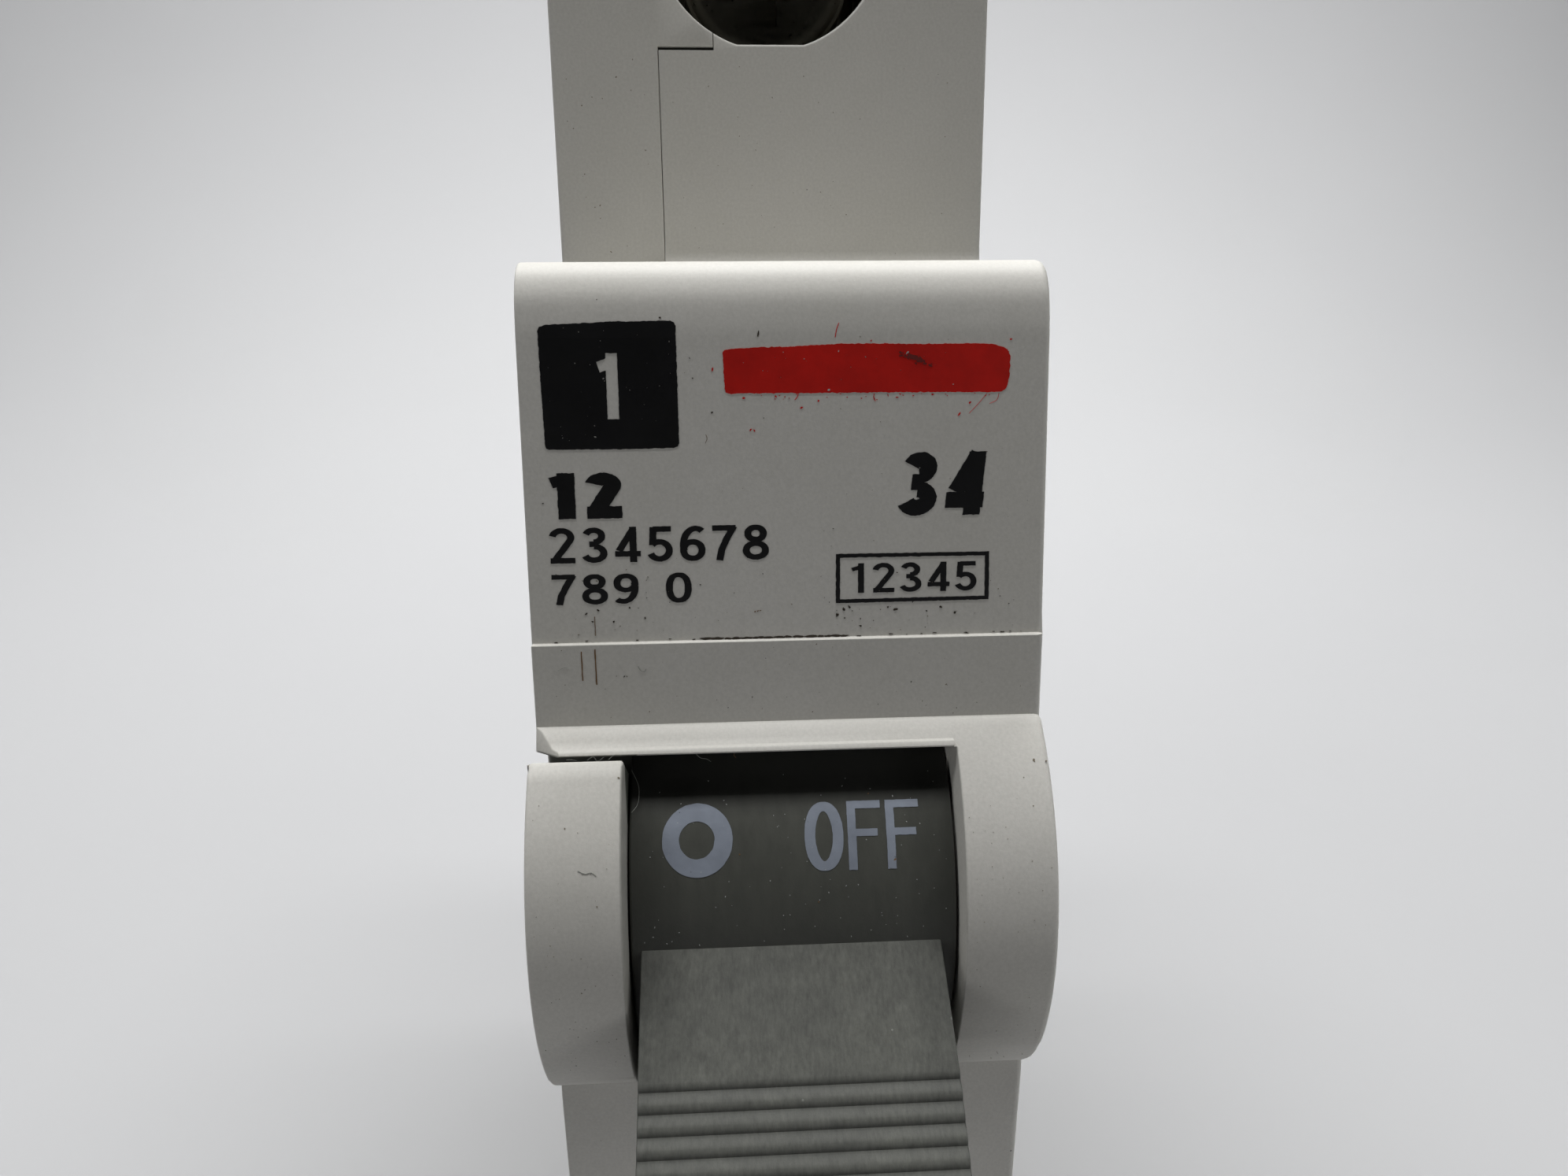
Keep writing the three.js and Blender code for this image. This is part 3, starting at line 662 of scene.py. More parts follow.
def plain_plastic(name, c, rough=0.5):
    s = Nodes(name)
    s.set(Roughness=rough, Specular_IOR_Level=0.45)
    n = s.noise(400, 4, 0.6)
    lo = tuple(x * 0.9 for x in c)
    hi = tuple(min(1, x * 1.1) for x in c)
    s.base(s.ramp(n, [(0.3, lo), (0.7, hi)]))
    g = s.noise(9000, 2, 0.6)
    s.rough(s.rng(g, 0.2, 0.8, rough - 0.06, rough + 0.08))
    s.normal(s.bump(g, 0.4, 0.00001))
    return s.m


def metal(name, c, rough=0.35, dirt=(0.2, 0.17, 0.13), amount=0.35, brushed=None):
    s = Nodes(name)
    s.set(Metallic=1.0, Roughness=rough)
    n = s.noise(300, 5, 0.6)
    g = s.noise(5000, 2, 0.6, s.mapping(scale=brushed) if brushed else None)
    c1 = tuple(x * 0.86 for x in c)
    base = s.ramp(n, [(0.3, c1), (0.7, c)])
    spots = s.ramp(s.noise(900, 5, 0.7), [(0.55, (0, 0, 0)), (0.75, (1, 1, 1))])
    base = s.mix(s.math("MULTIPLY", spots, amount), base, dirt)
    s.base(base)
    s.rough(s.rng(g, 0.2, 0.8, rough - 0.08, rough + 0.15))
    s.normal(s.bump(g, 0.35, 0.000008))
    return s.m


def ink(name, c, rough=0.35, worn=0.5, under=None):
    s = Nodes(name)
    s.set(Roughness=rough, Specular_IOR_Level=0.5)
    n = s.noise(700, 4, 0.6)
    lo = tuple(x * 0.85 for x in c)
    hi = tuple(min(1, x * 1.15) for x in c)
    base = s.ramp(n, [(0.3, lo), (0.7, hi)])
    if under:
        v = s.voronoi(2600)
        hole = s.math("LESS_THAN", v.outputs["Distance"], s.rng(s.noise(900, 2, 0.5), 0.5, 0.75, 0.0, 0.09))
        base = s.mix(s.math("MULTIPLY", hole, worn), base, under)
    s.base(base)
    s.normal(s.bump(s.noise(7000, 3, 0.6), 0.35, 0.00001))
    return s.m


M = {
    "shell": shell_material(),
    "toggle": toggle_material(),
    "grip": grip_material(),
    "black": plain_plastic("black_plastic", lin(32, 32, 33), 0.5),
    "tan": plain_plastic("tan_plastic", lin(150, 116, 80), 0.55),
    "fibre": plain_plastic("fibre_board", lin(176, 160, 134), 0.8),
    "steel": metal("steel", lin(178, 180, 182), 0.34),
    "zinc": metal("zinc_plate", lin(196, 192, 176), 0.32, amount=0.45),
    "copper": metal("copper", lin(214, 142, 100), 0.33, dirt=lin(92, 58, 38)),
    "silver": metal("silver", lin(214, 212, 206), 0.28),
    "bimetal": metal("bimetal", lin(160, 154, 140), 0.36),
    "ink_black": ink("ink_black", lin(24, 24, 25), 0.32, 0.35, lin(160, 158, 150)),
    "ink_red": ink("ink_red", lin(200, 24, 14), 0.42, 0.25, lin(196, 70, 50)),
    "dirt": ink("dirt_dark", lin(58, 50, 40), 0.7),
    "dirt_soft": ink("dirt_soft", lin(128, 120, 104), 0.8),
    "dirt_brown": ink("dirt_brown", lin(112, 84, 52), 0.7),
    "smudge": ink("smudge", lin(112, 26, 18), 0.6),
    "dust": ink("dust", lin(176, 178, 176), 0.9),
    "lint": ink("lint", lin(150, 152, 146), 0.9),
    "ink_white": ink("ink_pale", lin(134, 141, 153), 0.5, 0.5, lin(96, 96, 92)),
}

# ---------------------------------------------------------------- the two shells
nose_top = smooth_profile([(-52.5, 22.5), (-53.05, 22.4), (-53.5, 22.1), (-53.82, 21.6), (-54.02, 21.0), (-54.17, 20.0)], 4)
nose_low = smooth_profile([(-54.17, -20.0), (-54.02, -21.0), (-53.82, -21.6), (-53.5, -22.1), (-53.05, -22.4), (-52.5, -22.5)], 4)
rear = [(5.5, -H), (5.5, -18.6), (-0.3, -18.6), (-0.3, -15.9), (0, -15.9), (0, 15.9), (-0.3, 15.9), (-0.3, 17.8), (1.35, 17.8), (1.35, 16.2), (3.0, 16.2), (5.5, 18.8), (5.5, H)]
front = nose_top + [(-54.83, 10.7), (-54.87, 10.0), (-55.03, 9.98), (-55.1, 7.1), (-55.12, -7.4)] + nose_low + [(-44, -22.5), (-44, -H)] + rear
outer = prism_x([(-44, H), (-44, 22.5)] + front, -W, W, "outer")
# the right-hand shell runs into its nose with a soft inner corner
inner_corner = [(-45.2 + 1.2 * math.cos(t * DEG), 23.7 - 1.2 * math.sin(t * DEG)) for t in range(0, 91, 9)]
outer_base = prism_x([(-44, H)] + inner_corner + front, -W, W, "outer_base")
on_round = lambda a, c: (c[0] - c[2] * math.cos(a * DEG), c[1] + c[2] * math.sin(a * DEG))
# the bevel over the toggle, ending in a soft lip
lip = prism_x([(-54.6, 7.6), (-55.1, 7.12), on_round(46, CHEEK_R), on_round(43.5, CHEEK_R), on_round(42, CHEEK_R), (-55.89, 6.53), (-55.96, 6.46), (-55.99, 6.4), (-55.98, 6.36), (-55.93, LIP_Z), (-54.6, LIP_Z)], -W, WIN_R)
mitre = [(-W, -55.1, 7.12), (-7.84, -56.0, 6.42), (-W, -55.38, 6.3)]
cut(lip, half_space(*mitre, side=(-W, -57, 6.7)))
# right cheek: leaves the bevel in one sweep, turns into its round and ends in a soft corner
right_cheek = prism_x([(-53.5, 7.1), (-55.1, 7.12)] + [on_round(a, CHEEK_R) for a in [46 - 1.5 * i for i in range(50)]] + [(-56.95, -4.9), (-56.7, -5.32), (-56.35, -5.75), (-56.0, -6.1), (-55.6, -6.45), (-55.1, -6.8), (-53.5, -6.9)], WIN_R, W)
union(outer_base, lip, right_cheek)
# left cheek: its own round, with a top that falls away under the lip
left_cheek = prism_x([(-52, 3.6), (-54.6, 4.9), (-56.1, 6.1), (-56.4, 6.34), (-56.52, 6.41), (-56.64, 6.43), (-56.75, 6.38), (-56.83, 6.28)] + [on_round(a, CHEEK_L) for a in [37 - 1.5 * i for i in range(49)]] + [(-57.05, -5.1), (-56.9, -5.45), (-56.7, -5.72), (-56.4, -6.0), (-56.0, -6.3), (-55.6, -6.6), (-55.0, -6.86), (-52, -6.86)], -W, WIN_L)

room = [(-42.4, 29.4), (-42.4, 20.9), (-53.3, 20.9), (-53.3, -20.9), (-42.4, -20.9), (-42.4, -29.4), (-1.6, -29.4), (-1.6, 19.4), (3.9, 19.4), (3.9, 29.4)]
hollow = prism_x(room, -RX, RX, "hollow")
parts = []
for s in (1, -1):
    zz = lambda a, b: (a, b) if s > 0 else (-b, -a)
    za, zb = zz(30.9, 40.5)
    parts += [block(-5.3, 5.3, -41, -14.6, za, zb), block(-RX, RX, -13, 3.9 if s > 0 else -0.6, za, zb)]
    zc, zd = zz(29.3, 31.0)
    parts.append(block(-3.3, 3.3, -26.4, -24.4, zc, zd))
    ze, zf = zz(40.3, 43)
    parts.append(block(-4.3, 4.3, -30.6, -17.4, ze, zf))
parts.append(block(WIN_L, WALL_R, -62, -50, WIN_LOW, LIP_Z))
parts.append(cyl_x(PY, PZ, BARREL + 0.4, WIN_L, WALL_R, 128))
# the right wall opens out a little towards the front
draft = turned([(0, WIN_L + 1), (10.6, WIN_L + 1), (10.6, 5.62), (8.7, 5.585), (8.0, WALL_R), (0, WALL_R)], "x", PY, PZ, 160)
meet(draft, block(-6, 6, -62, -50, WIN_LOW, LIP_Z))
parts.append(draft)
parts.append(block(-4.9, 4.9, 1.0, 3.8, -43, -18))
parts.append(block(-3.6, 3.6, 3.7, 7, -43, -18))
# screw access, flattened a little at its inner edge where the step of the joint meets it
for s in (1, -1):
    hole = cyl_y(0, s * TZ, HOLE_R, -45, -40.9, 96)
    if s > 0:
        cut(hole, block(-2.3, 2.0, -46, -40, 30, 31.6))
    parts.append(hole)
union(hollow, *parts)
bosses = [cyl_x(PY, PZ, 3.2, 5.75, RX + 0.2, 40), cyl_x(PY, PZ, 3.2, -RX - 0.2, -5.75, 40)]
bosses += [cyl_x(y, z, 2.6, -RX - 0.2, RX + 0.2, 32) for y, z in RIVETS]
bosses += [cyl_x(CY_, CZ_, 2.4, 3.7, RX + 0.2, 32), cyl_x(CY_, CZ_, 2.4, -RX - 0.2, -6.0, 32), cyl_x(-25.2, -9.6, 1.1, 0.9, RX + 0.2, 24), block(-1.2, 1.2, 0.8, 3.3, -37.4, -36.0)]
cut(hollow, *bosses)
holes = [cyl_x(PY, PZ, 1.55, -8.1, 8.1, 32), cyl_x(CY_, CZ_, 1.35, -8.0, 8.0, 32)]
for y, z in RIVETS:
    holes += [cyl_x(y, z, 1.6, -10, 10, 32), cyl_x(y, z, 2.9, W - 1.0, 10, 48), cyl_x(y, z, 2.9, -10, -W + 1.0, 48)]


def cover_zone(g, gz):
    """what belongs to the left-hand shell; g and gz open the joint"""
    zone = block(-20, SEAM + g, -70, 20, -60, 60)
    cut(zone, block(-30, 30, -70, -52.6 - g, -30, 30))
    tools = [block(-20, -2.3 + g, -50, -40.9, 31.5 - gz, 60), block(-20, -2.3 + g, -50, -40.9, -60, -31.5 + gz),
             block(-20, -3.4, 3.7 - g, 20, -60, -17), block(-20, WIN_L + g, -70, -50, -6.75 - g, 6.22 + g)]
    if g == 0:
        tools += [block(-20, WIN_L, -70, -55.14, -7.0, 0), block(-20, WIN_L, -70, -56.06, 6.0, 6.7)]
    return union(zone, *tools)


base = outer_base
cut(base, copy_of(hollow), *[copy_of(h) for h in holes])
cut(base, cover_zone(0.02, 0.12), block(-20, WIN_L + 0.08, -70, -50, -6.78, LIP_Z))
cover = outer
union(cover, left_cheek)
# the gap under the lip runs deep behind the top of this cheek
gap = prism_x([(-56.3, 6.26), (-54.6, 5.0), (-53.6, 4.3), (-53.6, 7.0), (-56.3, 7.0)], -W - 1, WIN_L + 0.05)
cut(cover, gap, hollow, *holes)
meet(cover, cover_zone(0.0, 0.0))


def keep_biggest(o):
    """drops stray slivers, keeping the largest connected body"""
    bm = bmesh.new()
    bm.from_mesh(o.data)
    seen, groups = set(), []
    for f in bm.faces:
        if f.index in seen:
            continue
        stack, g = [f], []
        seen.add(f.index)
        while stack:
            x = stack.pop()
            g.append(x)
            for e in x.edges:
                for y in e.link_faces:
                    if y.index not in seen:
                        seen.add(y.index)
                        stack.append(y)
        groups.append(g)
    groups.sort(key=len, reverse=True)
    sizes = [len(g) for g in groups]
    drop = [f for g in groups[1:] for f in g]
    if drop:
        bmesh.ops.delete(bm, geom=drop, context="FACES")
    bm.to_mesh(o.data)
    bm.free()
    return sizes


print("base bodies", keep_biggest(base), "cover bodies", keep_biggest(cover))
tidy(base)
tidy(cover)


def outside(mid):
    """whether a point lies on the outer walls, within 0.02 mm of them"""
    return abs(mid.x) > W - 0.02 or mid.z > H - 0.02 or mid.z < -H + 0.02


def base_rule(mid, d, n1, n2, convex):
    x, y, z = mid
    on_right = x > W - 0.01
    on_left = x < -W + 0.01
    if y < -52.0:
        if on_right:
            return 0.28 if not (9.5 < z < 10.8) else 0.1
        if on_left:
            return 0.05
        if 9.8 < z < 10.1 and abs(d.x) > 0.9:
            return 0.03
        if abs(z - 10.7) < 0.1:
            return 0
        if 6.2 < z < 7.0 and abs(d.x) > 0.9:
            return 0
        if 5.52 < x < 5.64 and y < -55.0:
            return 0.05 if z < LIP_Z - 0.12 else 0
        if abs(z - WIN_LOW) < 0.05 and y < -54:
            return 0.12
        if z > 6.3 and x < -8:
            return 0.04
        return 0
    if on_right:
        # rivet seats
        if any((y - ry) ** 2 + (z - rz) ** 2 < 3.2 ** 2 for ry, rz in RIVETS):
            return 0.12
        if -46 < y < -43.5 and 21 < z < 25:
            return 0.08
        return 0.22 if y < -0.5 or abs(z) > 40 else 0.12
    if abs(z) > H - 0.01:
        if abs(x) < 4.4 and -30.7 < y < -17.3:
            return 0.1
        return 0.2 if x > SEAM + 0.5 else 0.05
    if abs(y + 44) < 0.01:
        if (x * x + (abs(z) - TZ) ** 2) < 4.8 ** 2 and x > -2.2:
            return 0.12
        if abs(z) > 41.9:
            return 0.2
        return 0.04
    if y > 5.49:
        return 0.15
    if on_left:
        return 0.05
    if y > -0.31 and abs(z) < 19 and convex:
        return 0.06
    return 0


def cover_rule(mid, d, n1, n2, convex):
    x, y, z = mid
    on_left = x < -W + 0.01
    if y < -55.2:
        if on_left:
            return 0.1
        if abs(x - WIN_L) < 0.02:
            return 0.1
        return 0
    if on_left:
        if any((y - ry) ** 2 + (z - rz) ** 2 < 3.2 ** 2 for ry, rz in RIVETS):
            return 0.12
        return 0.2 if y < -0.5 or abs(z) > 40 else 0.12
    if abs(z) > H - 0.01:
        return 0.2 if x < SEAM - 0.5 else 0.05
    if abs(y + 44) < 0.01:
        if (x * x + (abs(z) - TZ) ** 2) < 4.8 ** 2:
            return 0.1
        return 0.04
    if y > 5.49:
        return 0.15
    return 0


round_edges(base, base_rule)
round_edges(cover, cover_rule)
finish_mesh(base, "shell_right")
finish_mesh(cover, "shell_left")
give(base, M["shell"])
give(cover, M["shell"])
for o, n in ((base, "housing_base"), (cover, "housing_cover")):
    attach(o, "body")
    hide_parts(n)

# ---------------------------------------------------------------- toggle
BAR_L, BAR_R, GRIP_L, GRIP_R = -5.6, 5.4, -5.26, 5.03
barrel = [(-BARREL * math.cos(a * DEG), BARREL * math.sin(a * DEG)) for a in [-105 + 205 * i / 110 for i in range(111)]]
barrel += [(-5.6 * math.cos(a * DEG), 5.6 * math.sin(a * DEG)) for a in [100 + 155 * i / 50 for i in range(51)]]
tog = prism_x([(PY + y, PZ + z) for y, z in barrel], BAR_L, BAR_R, "toggle")
A49 = 49 * DEG
us, un = (math.cos(A49), -math.sin(A49)), (math.sin(A49), math.cos(A49))
face = lambda s_, n_: (-(7.99 + us[0] * s_ + un[0] * n_), 0.3 + us[1] * s_ + un[1] * n_)
hd = [(0, 0.2), face(0, 0), face(3.95, 0.0)]
for k in range(8):
    # each rib: a long round shoulder down to a sharp root, then a tread that climbs back
    s0 = 3.99 + 0.62 * k
    for i in range(9):
        t = i / 8 * 33.6 * DEG
        hd.append(face(s0 + 0.45 * math.sin(t), -0.45 * (1 - math.cos(t))))
    hd += [face(s0 + 0.257, -0.0805), face(s0 + 0.27, -0.0805), face(s0 + 0.35, -0.06), face(s0 + 0.44, -0.034), face(s0 + 0.52, -0.013), face(s0 + 0.58, -0.003)]
hd += [face(9.0, 0)]
tip = smooth_profile([face(9.0, 0), (-13.85, -7.6), (-13.75, -8.1), (-13.2, -8.6), (-12.7, -8.9), (-12.2, -9.0), (-11.7, -8.88), (-11.2, -8.65)], 4)
hd += tip[1:] + [(-5.6, -5.7)]
handle = prism_x([(PY + y, PZ + z) for y, z in hd], GRIP_L, GRIP_R)
union(tog, handle)
K0a = (5.2 * math.sin(20 * DEG), 5.2 * math.cos(20 * DEG))
c24, s24 = math.cos(24 * DEG), math.sin(24 * DEG)
K0 = (K0a[0] * c24 - K0a[1] * s24, K0a[0] * s24 + K0a[1] * c24)
cut(tog,
    prism_x([(PY + y, PZ + z) for y, z in [(-1.5, 5.0), (-1.0, 4.2), (-0.35, 4.05), (9, 0.7), (9, 12), (6, 10.8), (-0.5, 6.5), (-1.3, 6.0)]], -1.3, 1.3),
    cyl_x(PY + K0[0], PZ + K0[1], 0.8, 0, 4.4, 24),
    cyl_x(PY, PZ, 1.62, -7, 7, 32),
    cyl_x(PY, PZ, 3.1, -6, -3.2, 32),
    block(-6, -3.2, PY, PY + 9, PZ - 3.0, PZ + 3.0))
tidy(tog, 0.2)
# the right side of the handle draws in a little towards its root
for v in tog.data.vertices:
    if abs(v.co.x - GRIP_R) < 0.01:
        f0 = face(0, 0)
        s_ = (v.co.y - PY - f0[0]) * -us[0] + (v.co.z - PZ - f0[1]) * us[1]
        if s_ < 4.4:
            v.co.x -= 0.16 * (1 - max(s_, 0.0) / 4.4)


def toggle_rule(mid, d, n1, n2, convex):
    x, y, z = mid
    ry, rz = y - PY, z - PZ
    r = math.hypot(ry, rz)
    if (abs(x - BAR_L) < 0.01 or abs(x - BAR_R) < 0.01) and r > 7.9 and ry < 0:
        return 0.1 if x < 0 else 0.04
    if (abs(x - GRIP_L) < 0.01 or -0.17 < x - GRIP_R < 0.01) and r > 8.1 and abs(d.x) < 0.5:
        return 0.06
    return 0


round_edges(tog, toggle_rule, 3, 20)
finish_mesh(tog, "toggle_grip", sharp=30)
give(tog, M["toggle"], M["grip"])
for p in tog.data.polygons:
    c = p.center * 1000
    if math.hypot(c.y - PY, c.z - PZ) > BARREL + 0.06:
        p.material_index = 1
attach(tog, "toggle")
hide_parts("toggle")

# ---------------------------------------------------------------- prints, dirt and fibres
FRONT_LINE = nose_top + [(-54.83, 10.7), (-54.87, 10.0), (-55.03, 9.98), (-55.1, 7.12)]


def on_front(x, z, h):
    for (y0, z0), (y1, z1) in zip(FRONT_LINE, FRONT_LINE[1:]):
        if z0 >= z >= z1:
            break
    t = (z0 - z) / (z0 - z1)
    n = Vector((0, z1 - z0, -(y1 - y0))).normalized()
    return Vector((x, y0 + (y1 - y0) * t, z)) + n * h


def on_shoulder(x, z, h):
    return Vector((x, -44 - h, z))


def round_place(cy, cz, r):
    """u is X, v an angle in degrees above the forward direction"""
    return lambda x, a, h: Vector((x, cy - (r + h) * math.cos(a * DEG), cz + (r + h) * math.sin(a * DEG)))


on_cheek_l = round_place(*CHEEK_L)
on_cheek_r = round_place(*CHEEK_R)
on_barrel = round_place(PY, PZ, BARREL)
# the barrel by arc length, zero at the middle of the lettering, for undistorted shapes
arc = BARREL * DEG
barrel_mm = lambda a0: (lambda x, v, h: on_barrel(x, a0 + v / arc, h))


def rough(loop, step=0.06, amp=0.012, seed=0.0, freq=6.0):
    """walks round a closed outline in even steps and gives it an uneven printed edge"""
    out = []
    n = len(loop)
    for i in range(n):
        (x0, y0), (x1, y1) = loop[i], loop[(i + 1) % n]
        d = math.hypot(x1 - x0, y1 - y0)
        if d < 1e-7:
            continue
        k = max(1, int(round(d / step)))
        nx, ny = (y1 - y0) / d, -(x1 - x0) / d
        for j in range(k):
            x, y = x0 + (x1 - x0) * j / k, y0 + (y1 - y0) * j / k
            a = amp * (noise.noise(Vector((x * freq, y * freq, seed))) + 0.6 * noise.noise(Vector((x * freq * 3.1, y * freq * 3.1, seed + 7))))
            out.append((x + nx * a, y + ny * a))
    return out


def blob(u, v, r, seed, stretch=1.0, turn=0.0, n=12, uneven=0.35):
    c, s_ = math.cos(turn), math.sin(turn)
    out = []
    for i in range(n):
        a = 2 * math.pi * i / n
        q = r * (1 + uneven * noise.noise(Vector((math.cos(a) * 1.3, math.sin(a) * 1.3, seed * 3.7))) * 2)
        x, y = q * math.cos(a) * stretch, q * math.sin(a)
        out.append((u + x * c - y * s_, v + x * s_ + y * c))
    return out


def oval(u, v, rx, ry, n=48, power=1.0):
    out = []
    for i in range(n):
        a = 2 * math.pi * i / n
        c, s_ = math.cos(a), math.sin(a)
        out.append((u + rx * math.copysign(abs(c) ** power, c), v + ry * math.copysign(abs(s_) ** power, s_)))
    return out


def stroke(pts, w, closed=False):
    """outline of a pen line of width w through pts, as one even-odd shape"""
    n = len(pts)
    left, right = [], []
    for i in range(n):
        if closed:
            a, b, c = pts[i - 1], pts[i], pts[(i + 1) % n]
        else:
            a, b, c = pts[max(i - 1, 0)], pts[i], pts[min(i + 1, n - 1)]
        d1 = Vector((b[0] - a[0], b[1] - a[1]))
        d2 = Vector((c[0] - b[0], c[1] - b[1]))
        if d1.length < 1e-9:
            d1 = d2.copy()
        if d2.length < 1e-9:
            d2 = d1.copy()
        d1.normalize()
        d2.normalize()
        t = d1 + d2
        t.normalize()
        k = min(2.0, 1.0 / max(0.3, t.dot(d1)))
        nx, ny = -t.y * w / 2 * k, t.x * w / 2 * k
        left.append((b[0] + nx, b[1] + ny))
        right.append((b[0] - nx, b[1] - ny))
    return [left, right] if closed else [left + right[::-1]]


def arc_pts(cx, cy, rx, ry, a0, a1, n=14):
    return [(cx + rx * math.cos((a0 + (a1 - a0) * i / n) * DEG), cy + ry * math.sin((a0 + (a1 - a0) * i / n) * DEG)) for i in range(n + 1)]


def digit_shapes(ch, w):
    """plain sloped-free numerals on a unit height; returns even-odd shapes and the advance"""
    h = w / 2
    if ch == "0":
        return [stroke(oval(0.29, 0.5, 0.29 - h, 0.5 - h, 40, 0.86), w, True)], 0.58
    if ch == "1":
        return [stroke([(0.27, 0), (0.27, 1)], w), stroke([(0.30, 0.93), (0.20, 0.84), (0.04, 0.79)], w * 0.85)], 0.44
    if ch == "2":
        return [stroke(arc_pts(0.28, 0.73, 0.26 - h + 0.02, 0.27 - h, 170, -30, 16) + [(0.06 + h * 0.6, h)], w), stroke([(0.02, h), (0.56, h)], w)], 0.58
    if ch == "3":
        return [stroke(arc_pts(0.27, 0.755, 0.235 - h + 0.02, 0.245 - h, 160, -90, 16), w), stroke(arc_pts(0.27, 0.27, 0.29 - h, 0.27 - h, 90, -160, 18), w), stroke([(0.17, 0.53), (0.30, 0.53)], w)], 0.58
    if ch == "4":
        return [stroke([(0.42, 0), (0.42, 1)], w), stroke([(0.44, 0.97), (0.03 + h, 0.25 + h)], w), stroke([(0.02, 0.24), (0.58, 0.24)], w)], 0.60
    if ch == "5":
        return [stroke([(0.13, 1 - h), (0.53, 1 - h)], w), stroke([(0.14, 0.98), (0.08 + h * 0.5, 0.47)], w), stroke(arc_pts(0.27, 0.32, 0.29 - h, 0.32 - h, 140, -158, 20), w)], 0.58
    if ch == "6":
        return [stroke(oval(0.29, 0.31, 0.28 - h, 0.31 - h, 30, 0.92), w, True), stroke(arc_pts(0.36, 0.46, 0.35 - h, 0.54 - h, 200, 58, 16), w)], 0.58
    if ch == "7":
        return [stroke([(0.02, 1 - h), (0.54, 1 - h)], w), stroke([(0.50, 0.97), (0.34, 0.62), (0.22, 0.3), (0.17, 0)], w)], 0.56
    if ch == "8":
        return [stroke(oval(0.29, 0.75, 0.25 - h, 0.25 - h, 28, 0.94), w, True), stroke(oval(0.29, 0.275, 0.29 - h, 0.275 - h, 30, 0.94), w, True)], 0.58
    if ch == "9":
        turn = lambda sh: [[(0.58 - x, 1 - y) for x, y in q] for q in sh]
        return [turn(q) for q in digit_shapes("6", w)[0]], 0.58
    return [], 0.36


def line_of(text, x0, x1, z0, z1, w, gap=0.1, slant=0.0):
    """fits a row of numerals into a box"""
    items, pen = [], 0.0
    for ch in text:
        sh, adv = digit_shapes(ch, w)
        items.append((pen, sh))
        pen += adv + gap
    pen -= gap
    sx, sz = (x1 - x0) / pen, z1 - z0
    out = []
    for px_, sh in items:
        for q in sh:
            out.append([[(x0 + (px_ + x) * sx + slant * y * sz, z0 + y * sz) for x, y in loop] for loop in q])
    return out


def patch(shapes, place, holes=(), cuts=(), top=0.012, bottom=-0.03, bm=None):
    """a thin closed skin of ink laid on a surface; shapes are even-odd lists of outlines"""
    co, edges = [], []
    loops = [l for sh in shapes for l in sh] + list(holes)
    for l in loops:
        k = len(co)
        co += [Vector(q) for q in l]
        edges += [(k + i, k + (i + 1) % len(l)) for i in range(len(l))]
    us_ = [q[0] for l in loops for q in l]
    vs_ = [q[1] for l in loops for q in l]
    for c in cuts:
        if min(vs_) < c < max(vs_):
            k = len(co)
            co += [Vector((min(us_) - 1, c)), Vector((max(us_) + 1, c))]
            edges.append((k, k + 1))
    v2, _, tris, _, _, _ = delaunay_2d_cdt(co, edges, [], 0, 1e-6)
    boxes = [[(min(x for x, _ in l), max(x for x, _ in l), min(y for _, y in l), max(y for _, y in l), l) for l in sh] for sh in shapes]
    hboxes = [(min(x for x, _ in l), max(x for x, _ in l), min(y for _, y in l), max(y for _, y in l), l) for l in holes]
    hit = lambda b, x, y: b[0] < x < b[1] and b[2] < y < b[3] and point_in(b[4], x, y)
    keep = []
    for t in tris:
        a, b, c = (v2[i] for i in t)
        if abs((b.x - a.x) * (c.y - a.y) - (b.y - a.y) * (c.x - a.x)) < 1e-9:
            continue
        x, y = (a.x + b.x + c.x) / 3, (a.y + b.y + c.y) / 3
        if any(sum(hit(b_, x, y) for b_ in sh) % 2 for sh in boxes) and not any(hit(b_, x, y) for b_ in hboxes):
            keep.append(tuple(t))
    used = sorted({i for t in keep for i in t})
    own = bm is None
    bm = bm or bmesh.new()
    ft = {i: bm.verts.new(place(v2[i].x, v2[i].y, top)) for i in used}
    fb = {i: bm.verts.new(place(v2[i].x, v2[i].y, bottom)) for i in used}
    border = {}
    for t in keep:
        bm.faces.new([ft[i] for i in t])
        bm.faces.new([fb[i] for i in reversed(t)])
        for i in range(3):
            e = (t[i], t[(i + 1) % 3])
            border[e] = border.get(e, 0) + 1
    for (i, j) in list(border):
        if (j, i) not in border:
            bm.faces.new([ft[j], ft[i], fb[i], fb[j]])
    return bm


def ink_piece(name, bm, material, body, sharp=40):
    bmesh.ops.recalc_face_normals(bm, faces=bm.faces[:])
    me = bpy.data.meshes.new(name)
    bm.to_mesh(me)
    bm.free()
    me.transform(Matrix.Scale(0.001, 4))
    o = obj_from(me)
    o.name = me.name = name
    give(o, material)
    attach(o, body)
    return o


